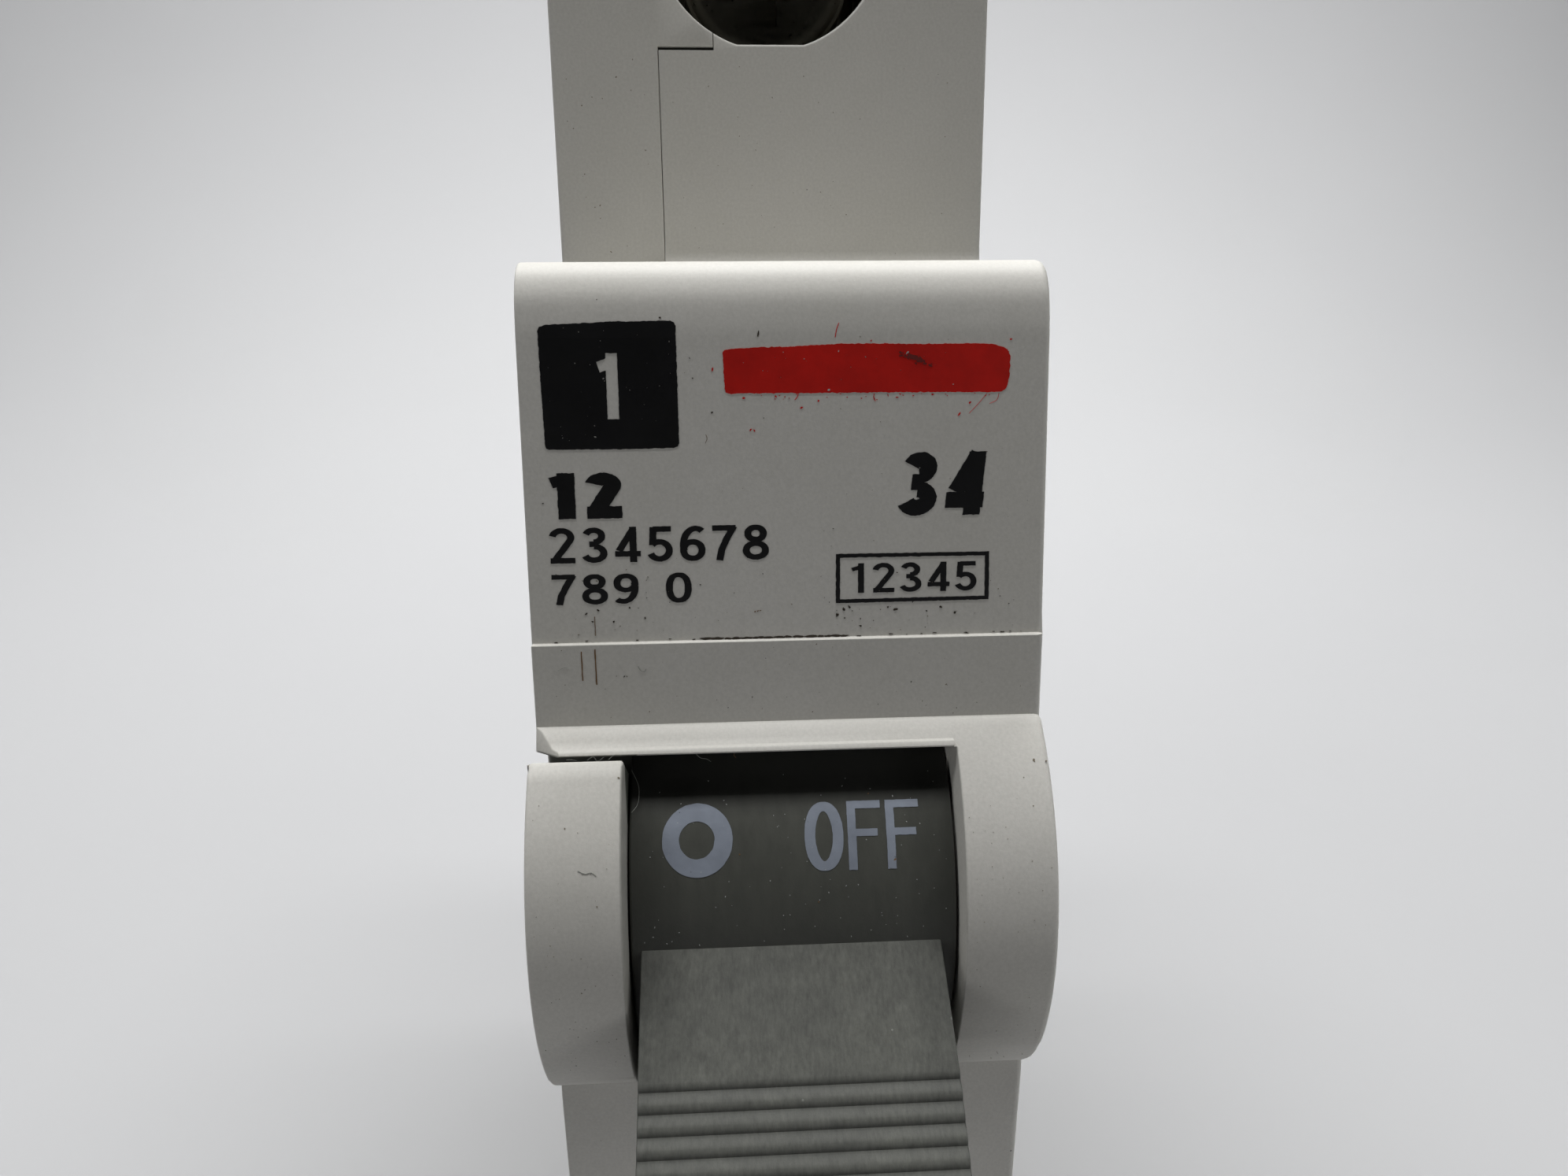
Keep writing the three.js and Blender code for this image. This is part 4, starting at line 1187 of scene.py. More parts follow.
def fibre(bm, place, pts, r=0.014, n=6, lift=0.0):
    """a hair lying on a surface: a thin closed tube through smoothed points (u, v[, h])"""
    path = []
    pts3 = [(q[0], q[1], (q[2] if len(q) > 2 else 0.0) + lift) for q in pts]
    m = len(pts3)
    for i in range(m - 1):
        p0, p1, p2, p3 = pts3[max(i - 1, 0)], pts3[i], pts3[i + 1], pts3[min(i + 2, m - 1)]
        for k in range(6):
            t = k / 6
            path.append(tuple(0.5 * (2 * p1[j] + (p2[j] - p0[j]) * t + (2 * p0[j] - 5 * p1[j] + 4 * p2[j] - p3[j]) * t * t + (3 * p1[j] - p0[j] - 3 * p2[j] + p3[j]) * t ** 3) for j in range(3)))
    path.append(pts3[-1])
    world = [place(u, v, h) for u, v, h in path]
    rings = []
    for i, c in enumerate(world):
        d = (world[min(i + 1, len(world) - 1)] - world[max(i - 1, 0)])
        if d.length < 1e-9:
            continue
        d.normalize()
        a = d.orthogonal().normalized()
        ref = Vector((0.3, -0.9, 0.31))
        a = (ref - d * ref.dot(d)).normalized()
        b = d.cross(a)
        rr = r * (0.75 + 0.25 * math.sin(3.1 * i)) * (0.35 if i in (0, len(world) - 1) else 1)
        rings.append([bm.verts.new(c + (a * math.cos(2 * math.pi * k / n) + b * math.sin(2 * math.pi * k / n)) * rr) for k in range(n)])
    for r0, r1 in zip(rings, rings[1:]):
        for k in range(n):
            bm.faces.new([r0[k], r0[(k + 1) % n], r1[(k + 1) % n], r1[k]])
    bm.faces.new(rings[0][::-1])
    bm.faces.new(rings[-1])
    return bm


def pinholes(rnd, x0, x1, z0, z1, n, big=0.03):
    return [blob(rnd.uniform(x0, x1), rnd.uniform(z0, z1), rnd.uniform(0.008, big) * rnd.choice((0.6, 0.8, 1.0)), rnd.random() * 50, rnd.uniform(1, 1.8), rnd.uniform(0, 3), 9) for _ in range(n)]


rnd = random.Random(11)
Z_CUTS = [z for _, z in FRONT_LINE]
# black square with a plain pale numeral left out of it
sq = [(-7.96, 16.62), (-7.93, 16.5), (-7.84, 16.46), (-5.5, 16.45), (-3.75, 16.47), (-3.64, 16.52), (-3.6, 16.62), (-3.6, 18.5), (-3.61, 20.36), (-3.66, 20.48), (-3.78, 20.53), (-5.6, 20.51), (-7.8, 20.42), (-7.98, 20.36), (-8.03, 20.22), (-8.0, 18.4)]
numeral = [[[(-6.22 + x * 1.9, 17.42 + y * 2.1) for x, y in l] for l in q] for q in digit_shapes("1", 0.2)[0]]
cut_out = [rough(l, 0.05, 0.012, 3.0, 7.0) for q in numeral for l in q]
bm = patch([[rough(sq, 0.05, 0.022, 1.0, 5.0)]], on_front, cut_out + pinholes(rnd, -7.8, -3.8, 16.7, 20.3, 34, 0.026), Z_CUTS)
# heavy row, thin rows, boxed row and the heavy sloped pair
patch([[rough(l, 0.05, 0.018, 5.0, 7.0) for l in q] for q in line_of("12", -7.93, -5.5, 14.19, 15.7, 0.27, 0.12)], on_front, (), Z_CUTS, bm=bm)
patch([[rough(l, 0.05, 0.009, 9.0, 8.0) for l in q] for q in line_of("2345678", -8.0, -0.7, 12.72, 13.9, 0.155, 0.13)], on_front, (), Z_CUTS, bm=bm)
patch([[rough(l, 0.05, 0.009, 13.0, 8.0) for l in q] for q in line_of("789 0", -8.0, -3.32, 11.32, 12.34, 0.155, 0.12)], on_front, (), Z_CUTS, bm=bm)
bx = [[(1.55, 11.18), (6.8, 11.2), (6.79, 12.85), (1.56, 12.86)], [(1.69, 11.31), (1.7, 12.73), (6.65, 12.72), (6.66, 11.33)]]
patch([[rough(l, 0.06, 0.014, 17.0, 6.0) for l in bx]], on_front, (), Z_CUTS, bm=bm)
patch([[rough(l, 0.05, 0.009, 19.0, 8.0) for l in q] for q in line_of("12345", 2.05, 6.4, 11.52, 12.53, 0.15, 0.12)], on_front, (), Z_CUTS, bm=bm)
patch([[rough(l, 0.05, 0.02, 23.0, 6.0) for l in q] for q in line_of("34", 3.62, 6.55, 14.1, 16.22, 0.25, 0.1, 0.1)], on_front, (), Z_CUTS, bm=bm)
ink_piece("print_black", bm, M["ink_black"], "body")

red = [(-2.11, 19.5), (-2.05, 19.58), (-1.9, 19.62), (-1.2, 19.66), (0.2, 19.68), (1.6, 19.75), (3.2, 19.75), (4.4, 19.72), (6.3, 19.73), (6.8, 19.7), (7.15, 19.6), (7.33, 19.46), (7.37, 19.3), (7.36, 18.9), (7.33, 18.48), (7.27, 18.3), (7.16, 18.2), (6.95, 18.15), (5.2, 18.17), (3.4, 18.18), (1.0, 18.19), (-1.0, 18.2), (-1.95, 18.19), (-2.03, 18.23), (-2.07, 18.4), (-2.09, 19.0)]
bm = patch([[rough(red, 0.045, 0.028, 31.0, 7.0)]], on_front, pinholes(rnd, -1.8, 7.0, 18.4, 19.5, 14, 0.02), Z_CUTS)
# flecks thrown off its lower edge, and hairs of the same ink
flecks = []
for x, z, r, st, tu in [(-2.45, 18.97, 0.035, 2.6, 1.5), (1.01, 17.93, 0.04, 1.6, 1.2), (0.45, 17.72, 0.05, 1.3, 0.4), (-1.45, 18.05, 0.05, 1.4, 0.2), (-1.24, 17.02, 0.035, 2.2, 0.9), (-1.12, 17.0, 0.03, 1.8, 2.0), (-0.4, 18.08, 0.035, 1.3, 0.3), (2.86, 17.98, 0.03, 2.0, 1.5), (6.05, 17.82, 0.045, 1.5, 0.9), (5.7, 17.45, 0.04, 2.4, 0.9), (3.6, 18.02, 0.03, 1.4, 0.6), (4.15, 18.06, 0.03, 1.3, 0.2), (4.8, 18.1, 0.04, 1.6, 0.1), (7.38, 19.85, 0.045, 1.2, 0.4), (2.75, 19.84, 0.03, 1.6, 1.4)]:
    flecks.append([blob(x, z, r * 0.7, x * 5 + z, st, tu)])
for i in range(26):
    flecks.append([blob(rnd.uniform(-1.9, 7.1), 18.15 - abs(rnd.gauss(0, 0.09)), rnd.uniform(0.009, 0.022), rnd.random() * 90, rnd.uniform(1, 2), rnd.uniform(0, 3), 9)])
patch(flecks, on_front, (), Z_CUTS, bm=bm)
fibre(bm, on_front, [(1.57, 19.95), (1.6, 20.12), (1.63, 20.25), (1.7, 20.42)], 0.02)
fibre(bm, on_front, [(0.35, 18.16), (0.3, 18.05), (0.22, 17.97)], 0.02)
fibre(bm, on_front, [(2.86, 18.16), (2.84, 18.02), (2.9, 17.9)], 0.018)
fibre(bm, on_front, [(6.62, 18.12), (6.35, 17.8), (6.02, 17.46)], 0.012)
fibre(bm, on_front, [(7.02, 18.12), (6.95, 17.9), (6.7, 17.78)], 0.012)
ink_piece("print_red", bm, M["ink_red"], "body")
smudge = []
for i in range(46):
    t = rnd.gauss(0, 0.42)
    smudge.append([blob(4.2 + 0.62 * t, 19.27 - 0.2 * t + rnd.gauss(0, 0.055), rnd.uniform(0.012, 0.045), rnd.random() * 60, rnd.uniform(1.2, 3.0), rnd.uniform(-0.9, 0.2), 10)])
bm = patch(smudge, on_front, (), (), top=0.018, bottom=0.002)
ink_piece("smudge_on_red", bm, M["smudge"], "body")
bm = patch([[blob(x, z, r, x, st, tu, 9)] for x, z, r, st, tu in ((3.95, 19.45, 0.02, 3.0, 0.7), (1.68, 19.52, 0.015, 2.6, 1.3), (0.55, 19.28, 0.016, 1.0, 0), (-0.13, 19.5, 0.014, 1.0, 0), (5.48, 18.42, 0.02, 1.2, 0), (1.35, 18.28, 0.03, 1.8, 0.5))], on_front, (), (), top=0.018, bottom=0.002)
ink_piece("flecks_on_red", bm, M["dust"], "body")

# lettering on the barrel of the toggle: ring and OFF above, bar and ON below the handle
RA = (19.3 + 37.0) / 2
place_off = barrel_mm(RA)
c2 = [2.0 * i / 1.0 * 0.26 - 1.6 for i in range(14)]
ring_shape = [rough(oval(-3.31, 0.0, 1.19, 1.22, 72), 0.07, 0.01, 41.0, 5.0), rough(oval(-3.33, 0.0, 0.6, 0.62, 48), 0.06, 0.012, 42.0, 6.0)]
hL = 1.14
O_ = lambda x: [oval(x, 0, 0.66, hL, 56, 0.9), oval(x, 0, 0.30, hL - 0.31, 44, 1.12)]
F_ = lambda x: [[(x, -hL), (x + 0.29, -hL), (x + 0.29, -0.04), (x + 1.02, -0.04), (x + 1.02, 0.2), (x + 0.29, 0.2), (x + 0.29, hL - 0.26), (x + 1.15, hL - 0.26), (x + 1.15, hL), (x, hL)]]
N_ = lambda x: [[(x, -hL), (x + 0.27, -hL), (x + 0.27, hL * 0.42), (x + 0.88, -hL), (x + 1.2, -hL), (x + 1.2, hL), (x + 0.93, hL), (x + 0.93, -hL * 0.38), (x + 0.32, hL), (x, hL)]]
I_ = lambda x: [[(x - 0.17, -hL), (x + 0.17, -hL), (x + 0.17, hL), (x - 0.17, hL)]]
soft = lambda q, sd: [rough(l, 0.06, 0.009, sd, 6.0) for l in q]
bm = patch([ring_shape, soft(O_(0.97), 43.0), soft(F_(1.78), 44.0), soft(F_(3.1), 45.0)], place_off, pinholes(rnd, -4.4, 4.2, -1.1, 1.1, 26, 0.02), c2)
patch([soft(I_(-3.3), 46.0), soft(O_(1.6), 47.0), soft(N_(2.6), 48.0)], barrel_mm(-73.0), pinholes(rnd, -3.5, 3.8, -1.1, 1.1, 10, 0.018), c2, bm=bm)
ink_piece("toggle_lettering", bm, M["ink_white"], "toggle")

# dirt: small dark specks, brown scratches and the line of dirt over the step
dark, soft_, brown, pale, rust = bmesh.new(), bmesh.new(), bmesh.new(), bmesh.new(), bmesh.new()
spots = [(1.82, 10.97, 0.05, 1.3), (2.01, 11.04, 0.035, 1.6), (1.6, 10.78, 0.05, 1.2), (1.85, 10.67, 0.025, 1.0), (3.6, 10.93, 0.045, 1.5), (3.33, 11.01, 0.03, 1.2), (2.39, 10.38, 0.03, 1.4), (5.15, 10.97, 0.035, 1.6), (5.64, 10.77, 0.035, 1.2), (4.66, 10.85, 0.025, 1.0), (-0.94, 20.08, 0.03, 3.2), (-6.88, 11.0, 0.03, 1.5), (-6.48, 11.12, 0.035, 1.2), (-5.97, 10.71, 0.03, 1.3), (-5.42, 11.18, 0.03, 1.0), (-4.91, 10.82, 0.025, 1.4), (-6.68, 10.73, 0.025, 1.2), (-2.5, 17.6, 0.025, 1.4), (-8.13, 14.72, 0.02, 1.2), (-3.1, 18.7, 0.02, 1.2), (-0.8, 17.4, 0.018, 1.0), (-4.1, 20.62, 0.03, 1.2)]
patch([[blob(x, z, r, x * 3 + z, st, 1.4 if st > 3 else rnd.uniform(0, 3))] for x, z, r, st in spots], on_front, (), Z_CUTS, bm=dark)
extra = []
for i in range(150):
    x, z = rnd.uniform(-8.2, 8.1), rnd.choice((rnd.uniform(10.15, 12.3), rnd.uniform(10.1, 20.0), rnd.uniform(7.2, 9.9)))
    if -8.05 < x < -3.55 and z > 16.4:
        continue
    extra.append([blob(x, z, rnd.uniform(0.006, 0.018) * (1.0 if z < 12.3 else 0.8), rnd.random() * 70, rnd.uniform(1, 2), rnd.uniform(0, 3), 8)])
patch(extra[::3], on_front, (), Z_CUTS, bm=dark)
patch(extra[1::3] + extra[2::3], on_front, (), Z_CUTS, bm=soft_)
line = []
x = -3.05
while x < 1.72:
    w_ = rnd.uniform(0.14, 0.5)
    if not (0.2 < x < 0.42):
        line.append([blob(x + w_ / 2, 10.05 + rnd.uniform(-0.006, 0.014), 0.04, rnd.random() * 30, w_ / 2 / 0.04, 0.0, 18, 0.3)])
    x += w_ * rnd.uniform(0.82, 1.02)
for i in range(24):
    line.append([blob(rnd.uniform(-8.3, 8.2), 10.03 + rnd.uniform(0, 0.05), rnd.uniform(0.01, 0.02), rnd.random() * 40, rnd.uniform(1.5, 5), 0.0, 9)])
patch(line, on_front, (), (), bm=dark)
for place, r0, items in ((on_cheek_l, CHEEK_L[2], [(-5.78, 35.82, 0.04), (-7.46, 26.66, 0.03), (-6.45, 12.08, 0.03), (-7.96, 4.89, 0.02), (-7.07, -5.51, 0.022), (-8.3, 31.0, 0.02), (-6.1, -18.0, 0.02), (-7.6, -27.0, 0.022)]),
                         (on_cheek_r, CHEEK_R[2], [(8.18, 37.02, 0.055), (8.6, 36.77, 0.03), (7.75, 33.66, 0.02), (7.97, 28.14, 0.028), (6.45, 16.98, 0.02), (5.96, -3.86, 0.018), (7.3, 4.0, 0.018), (6.9, -21.0, 0.02)])):
    for x, a, r in items:
        k = r0 * DEG
        patch([[blob(x * 1.0, a * k, r * 0.75, x + a, rnd.uniform(1, 1.6), rnd.uniform(0, 3), 12)]], (lambda pl, k_: (lambda u, v, h: pl(u, v / k_, h)))(place, k), (), (), bm=soft_)
    for i in range(46):
        x = rnd.uniform(5.75, 8.5) * (1 if place is on_cheek_r else -1)
        patch([[blob(x, rnd.uniform(-34, 34) * k, rnd.uniform(0.005, 0.013), rnd.random() * 80, rnd.uniform(1, 2), rnd.uniform(0, 3), 7)]], (lambda pl, k_: (lambda u, v, h: pl(u, v / k_, h)))(place, k), (), (), bm=soft_)
sh = []
for i in range(60):
    x, z = rnd.uniform(-8.5, 8.5), rnd.uniform(23.6, 31.2)
    sh.append([blob(x, z, rnd.uniform(0.008, 0.022) * (1.25 if x < SEAM else 0.9), rnd.random() * 60, rnd.uniform(1, 2), rnd.uniform(0, 3), 8)])
patch(sh, on_shoulder, (), (), bm=soft_)
ink_piece("dirt_specks", dark, M["dirt"], "body")
ink_piece("dirt_soft_specks", soft_, M["dirt_soft"], "body")

# brown tracks on the panel under the step
for x, z0, z1, w_ in ((-7.08, 8.73, 9.75, 0.022), (-6.62, 8.58, 9.82, 0.025), (-6.6, 10.25, 10.9, 0.012)):
    n = 9
    left = [(x - w_ * (0.6 + 0.5 * rnd.random()), z0 + (z1 - z0) * i / n) for i in range(n + 1)]
    right = [(x + w_ * (0.6 + 0.5 * rnd.random()), z1 - (z1 - z0) * i / n) for i in range(n + 1)]
    patch([[left + right]], on_front, (), (), bm=brown)
patch([[blob(-1.2 + 0.09 * i, 10.95 + 0.02 * i, 0.02, i, 1.5, 0.4, 8)] for i in range(3)], on_front, (), (), bm=brown)
patch([[blob(x, a * arc, r, x + a, 1.3, 0.5, 10)] for x, a, r in ((3.35, 22.13, 0.035), (0.72, 12.68, 0.02), (-1.9, 24.5, 0.018), (2.57, 37.98, 0.02))], lambda u, v, h: on_barrel(u, v / arc, h), (), (), bm=rust)
for i in range(90):
    x, a = rnd.uniform(-5.3, 5.2), rnd.uniform(3, 44)
    patch([[blob(x, a * arc, rnd.uniform(0.006, 0.014), rnd.random() * 60, rnd.uniform(1, 2.2), rnd.uniform(0, 3), 7)]], lambda u, v, h: on_barrel(u, v / arc, h), (), (), bm=pale)
ink_piece("dirt_brown", brown, M["dirt_brown"], "body")
ink_piece("toggle_rust_specks", rust, M["dirt_brown"], "toggle")
ink_piece("toggle_dust", pale, M["dust"], "toggle")

# fibres and lint
lint, lint2 = bmesh.new(), bmesh.new()
fibre(lint, on_front, [(-5.2, 9.2), (-5.12, 9.05), (-5.0, 9.0), (-4.93, 9.1)], 0.012, lift=0.012)
fibre(lint, on_front, [(-7.9, 9.1), (-7.7, 9.2), (-7.5, 9.18)], 0.01, lift=0.01)
fibre(lint, on_cheek_l, [(-7.05, 18.9), (-6.8, 18.3), (-6.62, 18.5), (-6.45, 17.8)], 0.012, lift=0.012)
in_gap = lambda x, t, h: Vector((x, -56.3 + t * 0.35, 6.34 + h))
fibre(lint, in_gap, [(-6.9, 0.0, 0.02), (-6.7, 0.3, 0.1), (-6.55, 0.1, -0.03), (-6.35, 0.5, 0.06)], 0.0075)
fibre(lint, in_gap, [(-6.2, 0.1, 0.0), (-6.0, 0.7, 0.1), (-5.8, 0.9, 0.02)], 0.0075)
fibre(lint, in_gap, [(-7.6, 0.4, 0.0), (-7.4, 0.1, 0.05), (-7.25, 0.3, -0.02)], 0.0075)
by_edge = lambda x, a, h: on_barrel(x, a, h + 0.02)
fibre(lint, by_edge, [(-5.52, 44.5, 0.5), (-5.3, 41.5, 0.2), (-5.28, 38.5, 0.08), (-5.35, 36.5, 0.1), (-5.5, 34.8, 0.3)], 0.0075)
under = lambda x, t, h: Vector((x, -55.9 + 0.2 * t, 6.3 + h))
fibre(lint, under, [(-3.3, 0, 0.02), (-3.15, 0.3, -0.16), (-2.95, 0.5, -0.22), (-2.8, 0.2, -0.3)], 0.011)
fibre(lint2, under, [(-2.0, 0, 0.02), (-2.02, 0.3, -0.1), (-1.95, 0.4, -0.2)], 0.012)
fibre(lint2, on_front, [(-2.72, 16.9), (-2.68, 16.75), (-2.75, 16.6)], 0.01)
ink_piece("lint", lint, M["lint"], "body")
ink_piece("lint_brown", lint2, M["dirt_brown"], "body")

# ---------------------------------------------------------------- hardware seen from outside
def hardware(o, name, material, body, node, sharp=30):
    finish_mesh(o, name, sharp=sharp)
    give(o, M[material])
    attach(o, body)
    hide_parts(node)
    return o


# rivets: a domed head on the right, a rolled hollow end on the left
rivet_line = [(0, -8.16), (0.92, -8.17), (1.02, -8.24), (1.14, -8.42), (1.32, -8.52), (1.6, -8.55), (1.98, -8.52), (2.3, -8.41), (2.52, -8.22), (2.6, -8.0), (2.56, -7.86), (2.4, -7.82), (1.36, -7.8),
              (1.36, 7.8), (2.4, 7.82), (2.56, 7.86), (2.6, 7.98), (2.53, 8.16), (2.34, 8.32), (1.95, 8.44), (1.4, 8.51), (0.7, 8.545), (0, 8.55)]
for i in range(1, 7):
    lo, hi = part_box(f"rivet_{i}")
    cy, cz = (lo[1] + hi[1]) * 500, (lo[2] + hi[2]) * 500
    hardware(turned(rivet_line, "x", cy, cz, 64), f"hollow_rivet_{i}", "zinc", "body", f"rivet_{i}")


def threaded_screw(cz):
    """cheese head with a cross recess and a slot, and a helical thread below it"""
    n, v, rows = 56, [], []
    line = [(3.0, -39.2), (3.35, -39.17), (3.58, -39.05), (3.69, -38.86), (3.7, -38.7), (3.7, -36.35), (3.66, -36.15), (3.5, -36.02), (3.3, -36.0), (2.3, -36.0)]
    m = 104
    for r, y in line + [(None, -35.9 + 9.0 * j / m) for j in range(m + 1)] + [(1.9, -26.62), (1.7, -26.5)]:
        row = []
        for k in range(n):
            a = 2 * math.pi * k / n
            if r is None:
                f = ((y + 36.0) / 0.8 - k / n) % 1.0
                tooth = 1 - abs(2 * f - 1)
                run = min(1.0, max(0.0, (-26.9 - y) / 0.5))
                rr = 1.92 + 0.46 * min(1.0, max(0.0, tooth * 1.25 - 0.1)) * run
            else:
                rr = r
            row.append(len(v))
            v.append((rr * math.cos(a), y, cz + rr * math.sin(a)))
        rows.append(row)
    f = [rows[0][::-1], rows[-1][:]]
    for r0, r1 in zip(rows, rows[1:]):
        f += [[r0[k], r0[(k + 1) % n], r1[(k + 1) % n], r1[k]] for k in range(n)]
    o = obj_from(mesh_from("screw", v, f))
    slot = block(-4, 4, -39.6, -38.0, cz - 0.6, cz + 0.6)
    cross = block(-0.5, 0.5, -39.6, -37.6, cz - 2.3, cz + 2.3)
    return cut(o, slot, cross)


def clamp_cage(cz):
    """a bent strip cage: round corners along its length and a plain screw hole in its top"""
    r, out = 0.9, []
    for sx, sy, a0 in ((1, 1, 0), (-1, 1, 90), (-1, -1, 180), (1, -1, 270)):
        cx, cy = sx * (4.9 - r), -24.4 + sy * (7.0 - r)
        out += [(cx + r * math.cos((a0 + 15 * k) * DEG), cy + r * math.sin((a0 + 15 * k) * DEG)) for k in range(7)]
    o = prism_z(out, cz - 3.9, cz + 3.9)
    r, inn = 0.35, []
    for sx, sy, a0 in ((1, 1, 0), (-1, 1, 90), (-1, -1, 180), (1, -1, 270)):
        cx, cy = sx * (3.6 - r), -23.8 + sy * (5.1 - r)
        inn += [(cx + r * math.cos((a0 + 18 * k) * DEG), cy + r * math.sin((a0 + 18 * k) * DEG)) for k in range(6)]
    cut(o, prism_z(inn, cz - 5, cz + 5), cyl_y(0, cz, 2.5, -32, -28, 56))
    # serrated floor that bites the wire
    cut(o, *[prism_x([(-18.75, cz + q - 0.25), (-18.75, cz + q + 0.25), (-18.5, cz + q)], -3.0, 3.0) for q in (-2.4, -1.6, -0.8, 0.0, 0.8, 1.6, 2.4)])
    return o


for name, s_ in (("upper", 1), ("lower", -1)):
    cz = s_ * TZ
    hardware(threaded_screw(cz), f"{name}_clamp_screw", "zinc", f"{name}_screw", f"{name}_terminal_screw", 24)
    cage = clamp_cage(cz)
    round_edges(cage, lambda mid, d, n1, n2, convex: 0.12 if convex and abs(abs(mid.z - cz) - 3.9) < 0.01 else 0)
    hardware(cage, f"{name}_clamp_cage", "zinc", f"{name}_cage", f"{name}_terminal_cage")
    za, zb = (29.1, 39.6) if s_ > 0 else (-39.6, -27.2)
    tongue = block(-3, 3, -26.2, -24.7, za, zb)
    # grooves across the tongue where the wire is pressed
    cut(tongue, *[prism_x([(-24.6, cz + q - 0.3), (-24.6, cz + q + 0.3), (-24.95, cz + q)], -4, 4) for q in (-2.4, -1.2, 0.0, 1.2, 2.4)])
    round_edges(tongue, lambda mid, d, n1, n2, convex: 0.15 if abs(abs(mid.x) - 3) < 0.01 and abs(mid.y + 24.7) > 0.3 else 0)
    hardware(tongue, f"{name}_clamp_tongue", "copper", "body", f"{name}_terminal_plate")

# rail clip with its foot, its window and a finger slot
clip = block(-4.7, 4.7, 1.2, 3.6, -41.7, -16.9)
union(clip, prism_x([(1.2, -16.95), (1.2, -16.3), (1.9, -16.3), (3.6, -17.6), (3.6, -18), (1.2, -18)], -4.7, 4.7))
cut(clip, block(-1.9, 1.9, 0, 5, -37.8, -27), block(-2.4, 2.4, 2.6, 5, -40.6, -39.2))
tidy(clip)
round_edges(clip, lambda mid, d, n1, n2, convex: (0.25 if convex and mid.z < -41.6 else 0.14) if convex else 0)
hardware(clip, "sliding_clip", "black", "rail_clip", "rail_clip")


def coil_spring(cx, cy, z0, z1, r, wire, turns, n=12, per=28):
    """a coil with closed ends; z0..z1 is the length outside the wire"""
    a, b = z0 + wire, z1 - wire
    steps = int(turns * per)
    v, rows = [], []
    for i in range(steps + 1):
        t = i / steps
        ang = 2 * math.pi * turns * t
        c = Vector((cx + r * math.cos(ang), cy + r * math.sin(ang), a + (b - a) * t))
        tan = Vector((-r * math.sin(ang) * 2 * math.pi * turns, r * math.cos(ang) * 2 * math.pi * turns, b - a)).normalized()
        rad = Vector((math.cos(ang), math.sin(ang), 0))
        up = tan.cross(rad)
        rows.append(list(range(len(v), len(v) + n)))
        v += [c + (rad * math.cos(2 * math.pi * k / n) + up * math.sin(2 * math.pi * k / n)) * wire for k in range(n)]
    f = [rows[0][::-1], rows[-1][:]]
    for r0, r1 in zip(rows, rows[1:]):
        f += [[r0[k], r0[(k + 1) % n], r1[(k + 1) % n], r1[k]] for k in range(n)]
    return obj_from(mesh_from("coil", v, f))


# the two return springs, built as coils in the boxes of the CAD springs
for node, name, other, r, wire, turns in (("rail_clip_spring", "clip_return_spring", "rail_clip", 0.85, 0.2, 7), ("plunger_spring", "plunger_return_spring", "plunger", 1.35, 0.16, 2.4)):
    lo, hi = [[q * 1000 for q in e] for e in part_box(node)]
    cx, cy = (lo[0] + hi[0]) / 2, (lo[1] + hi[1]) / 2
    o = coil_spring(cx, cy, lo[2], hi[2], r, wire, turns)
    finish_mesh(o, name, sharp=60)
    give(o, M["steel"])
    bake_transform(o)
    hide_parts(node)

# the toggle's torsion spring, with a straight leg at each end
def torsion_spring(x0, x1, cy, cz, r, leg, wire, turns=2.5, n=12, per=28):
    path = [Vector((x0, cy + leg, cz - r)), Vector((x0, cy + 0.4, cz - r))]
    steps = int(turns * per)
    for i in range(steps + 1):
        a = -math.pi / 2 - 2 * math.pi * turns * i / steps
        path.append(Vector((x0 + (x1 - x0) * i / steps, cy + r * math.cos(a), cz + r * math.sin(a))))
    path += [Vector((x1, cy + 0.4, cz + r)), Vector((x1, cy + leg, cz + r))]
    v, rows = [], []
    for i, c in enumerate(path):
        tan = (path[min(i + 1, len(path) - 1)] - path[max(i - 1, 0)]).normalized()
        side = (Vector((1, 0, 0)) - tan * tan.x).normalized()
        up = tan.cross(side)
        rows.append(list(range(len(v), len(v) + n)))
        v += [c + (side * math.cos(2 * math.pi * k / n) + up * math.sin(2 * math.pi * k / n)) * wire for k in range(n)]
    f = [rows[0][::-1], rows[-1][:]]
    for r0, r1 in zip(rows, rows[1:]):
        f += [[r0[k], r0[(k + 1) % n], r1[(k + 1) % n], r1[k]] for k in range(n)]
    return obj_from(mesh_from("torsion", v, f))


o = torsion_spring(-5.0, -3.5, PY, PZ, 2.3, 5.3, 0.25)
finish_mesh(o, "toggle_return_spring", sharp=60)
give(o, M["steel"])
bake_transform(o)
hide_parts("toggle_spring")

# the opening spring and the braid, copied from the CAD parts
for node, name, key, sl, fixed in (("contact_spring", "opening_spring", "steel", "steel", (0, -25.2, -8.0)), ("flexible_braid", "arm_braid", "copper", "copper", (-0.9, -30.6, -9.6))):
    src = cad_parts[node]
    me = src.data.copy()
    me.transform(src.matrix_world)
    me.name = name
    o = obj_from(me)
    o.name = name
    start = Vector([q / 1000 for q in fixed])
    end = max((w.co for w in me.vertices), key=lambda c: (c - start).length).copy()
    give(o, M[key])
    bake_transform(o)
    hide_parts(node)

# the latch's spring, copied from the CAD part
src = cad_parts["latch_spring"]
me = src.data.copy()
me.transform(src.matrix_world)
me.name = "latch_return_spring"
o = obj_from(me)
o.name = "latch_return_spring"
give(o, M["steel"])
lo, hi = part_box("latch_spring")
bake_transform(o)
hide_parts("latch_spring")

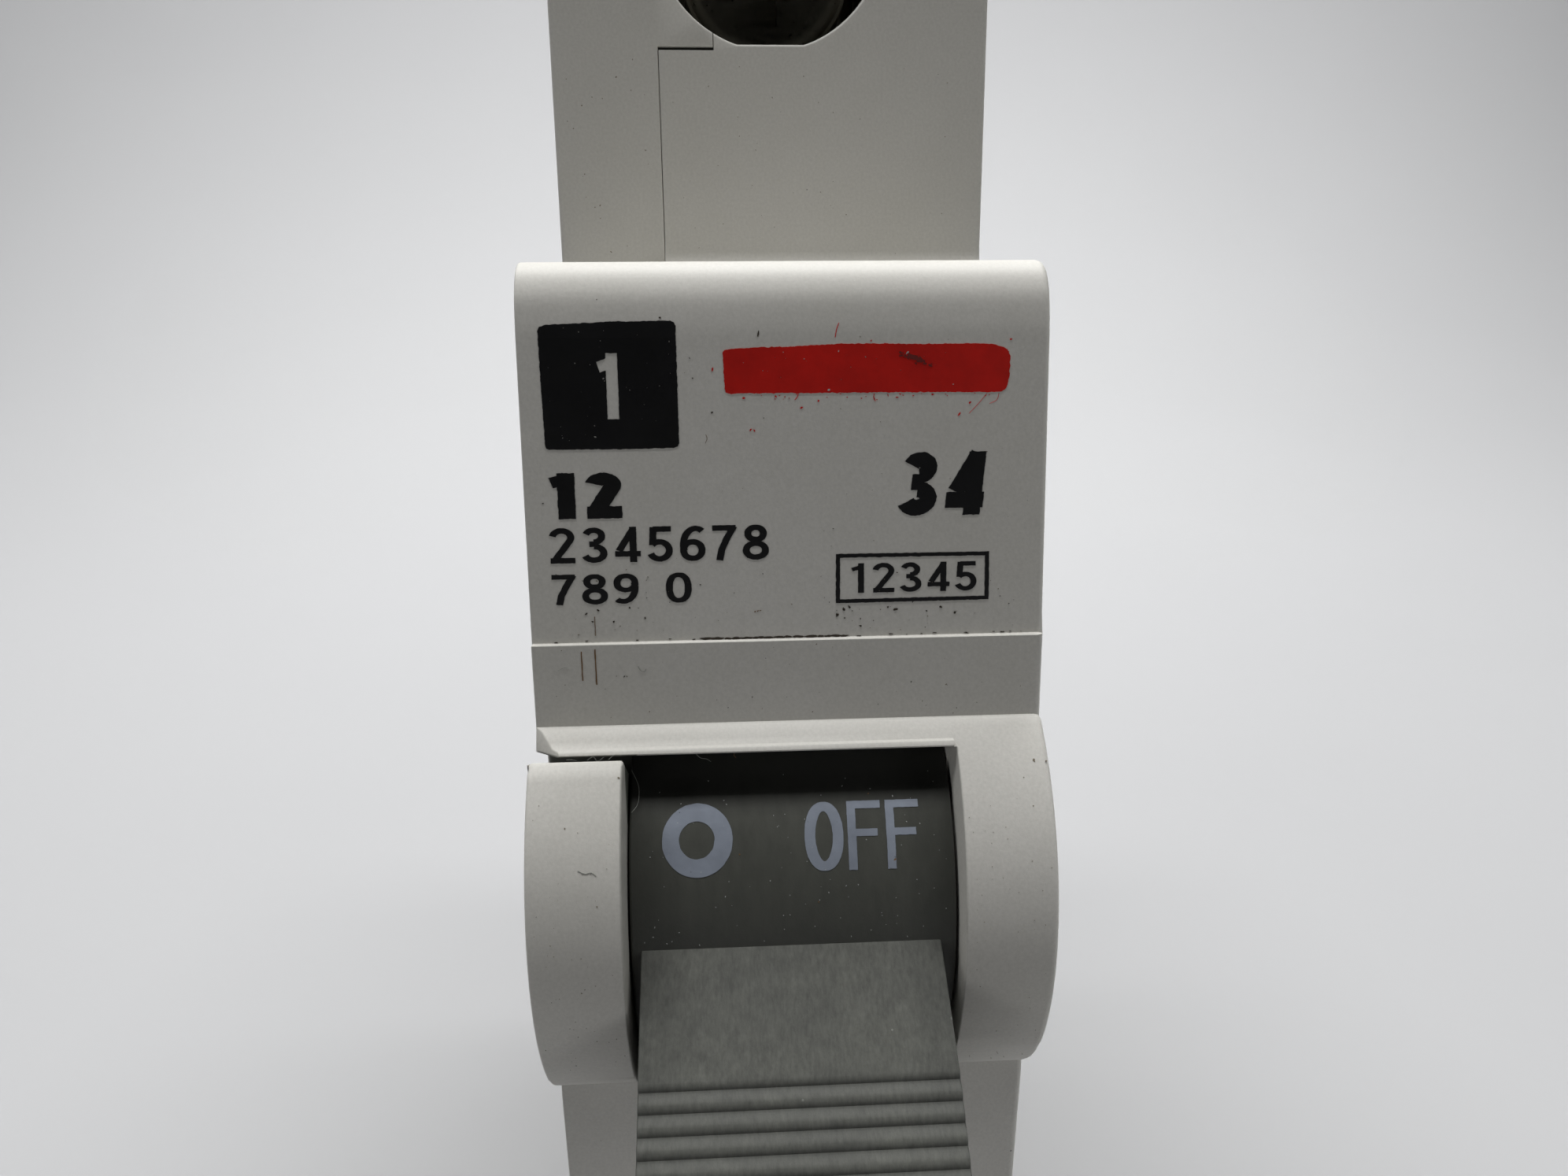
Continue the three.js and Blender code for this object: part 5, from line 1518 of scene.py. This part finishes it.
# ---------------------------------------------------------------- carried nodes
FINISH = {
    "steel": ["toggle_pin", "operating_link", "carrier_pin", "latch_pin", "magnet_yoke", "fixed_core", "plunger", "bimetal_bracket"] + [f"arc_plate_{i}" for i in range(1, 10)],
    "zinc": ["striker_pin", "calibration_screw"],
    "copper": ["contact_arm", "fixed_contact_plate", "lower_arc_runner", "magnet_coil"],
    "silver": ["moving_contact_tip", "fixed_contact_tip"],
    "black": ["contact_carrier", "coil_bobbin"],
    "tan": ["latch_lever"],
    "fibre": ["chute_side_left", "chute_side_right"],
    "bimetal": ["bimetal_strip"],
}
SLOT = {"steel": "steel", "zinc": "zinc_plate", "copper": "copper", "silver": "silver", "black": "black_plastic", "tan": "tan_plastic", "fibre": "fibre", "bimetal": "bimetal"}
for key, names in FINISH.items():
    for n in names:
        give(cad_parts[n], M[key])

# ---------------------------------------------------------------- stage
def stage_sweep():
    prof = [(-0.9, -0.042)]
    r = 0.30
    y0 = 0.16
    prof.append((y0, -0.042))
    for i in range(1, 25):
        a = i / 24 * 90 * DEG
        prof.append((y0 + r * math.sin(a), -0.042 + r * (1 - math.cos(a))))
    prof.append((y0 + r, 1.1))
    v, f = [], []
    for x in (-1.2, 1.2):
        v += [(x, y, z) for y, z in prof]
    n = len(prof)
    f = [[i, i + 1, n + i + 1, n + i] for i in range(n - 1)]
    me = bpy.data.meshes.new("stage_sweep")
    me.from_pydata(v, [], f)
    for p in me.polygons:
        p.use_smooth = True
    o = obj_from(me)
    s = Nodes("stage_paper")
    s.set(Roughness=0.8, Specular_IOR_Level=0.2)
    paper = s.ramp(s.noise(8, 2, 0.5), [(0.3, (0.396, 0.398, 0.404)), (0.7, (0.404, 0.406, 0.412))])
    # the paper is painted darker in front of the object: painted shade, which also dims the light it throws back onto
    # the front
    s.base(s.mix(s.rng(s.axes()[1], -0.09, -0.03, 0.6, 0.0), paper, (0.2, 0.2, 0.205)))
    give(o, s.m)
    return o


stage_sweep()


def area(name, loc, target, sx, sy, energy, colour=(1, 1, 1)):
    d = bpy.data.lights.new(name, "AREA")
    d.shape, d.size, d.size_y, d.energy, d.color = "RECTANGLE", sx, sy, energy, colour
    o = bpy.data.objects.new(name, d)
    scene.collection.objects.link(o)
    o.location = loc
    o.rotation_mode = "QUATERNION"
    o.rotation_quaternion = (Vector(target) - Vector(loc)).to_track_quat("-Z", "Y")
    return o


area("key_over", (0.0, -0.061, 0.35), (0.0, -0.052, 0.0), 0.40, 0.06, 1.23)
area("side_left", (-0.6, -0.4, 0.04), (0.0, -0.05, 0.0), 0.3, 0.3, 0.54)
area("side_right", (0.6, -0.4, 0.04), (0.0, -0.05, 0.0), 0.3, 0.3, 0.65)
wash = area("back_wash", (0.04, 0.12, 0.75), (0.02, 0.46, 0.07), 0.9, 0.1, 3.5)
wash.data.spread = 110 * DEG
low = area("floor_wash", (0.0, 0.25, 0.8), (0.0, 0.22, 0.0), 0.8, 0.1, 0.78)
low.data.spread = 70 * DEG
world = bpy.data.worlds.new("world")
scene.world = world
world.use_nodes = True
bg = world.node_tree.nodes["Background"]
bg.inputs[0].default_value = (0.9, 0.95, 1.0, 1)
bg.inputs[1].default_value = 0.0
scene.view_settings.view_transform = "Standard"
scene.view_settings.look = "None"
scene.view_settings.exposure = 0.0
scene.view_settings.gamma = 1.0

bpy.context.view_layer.update()
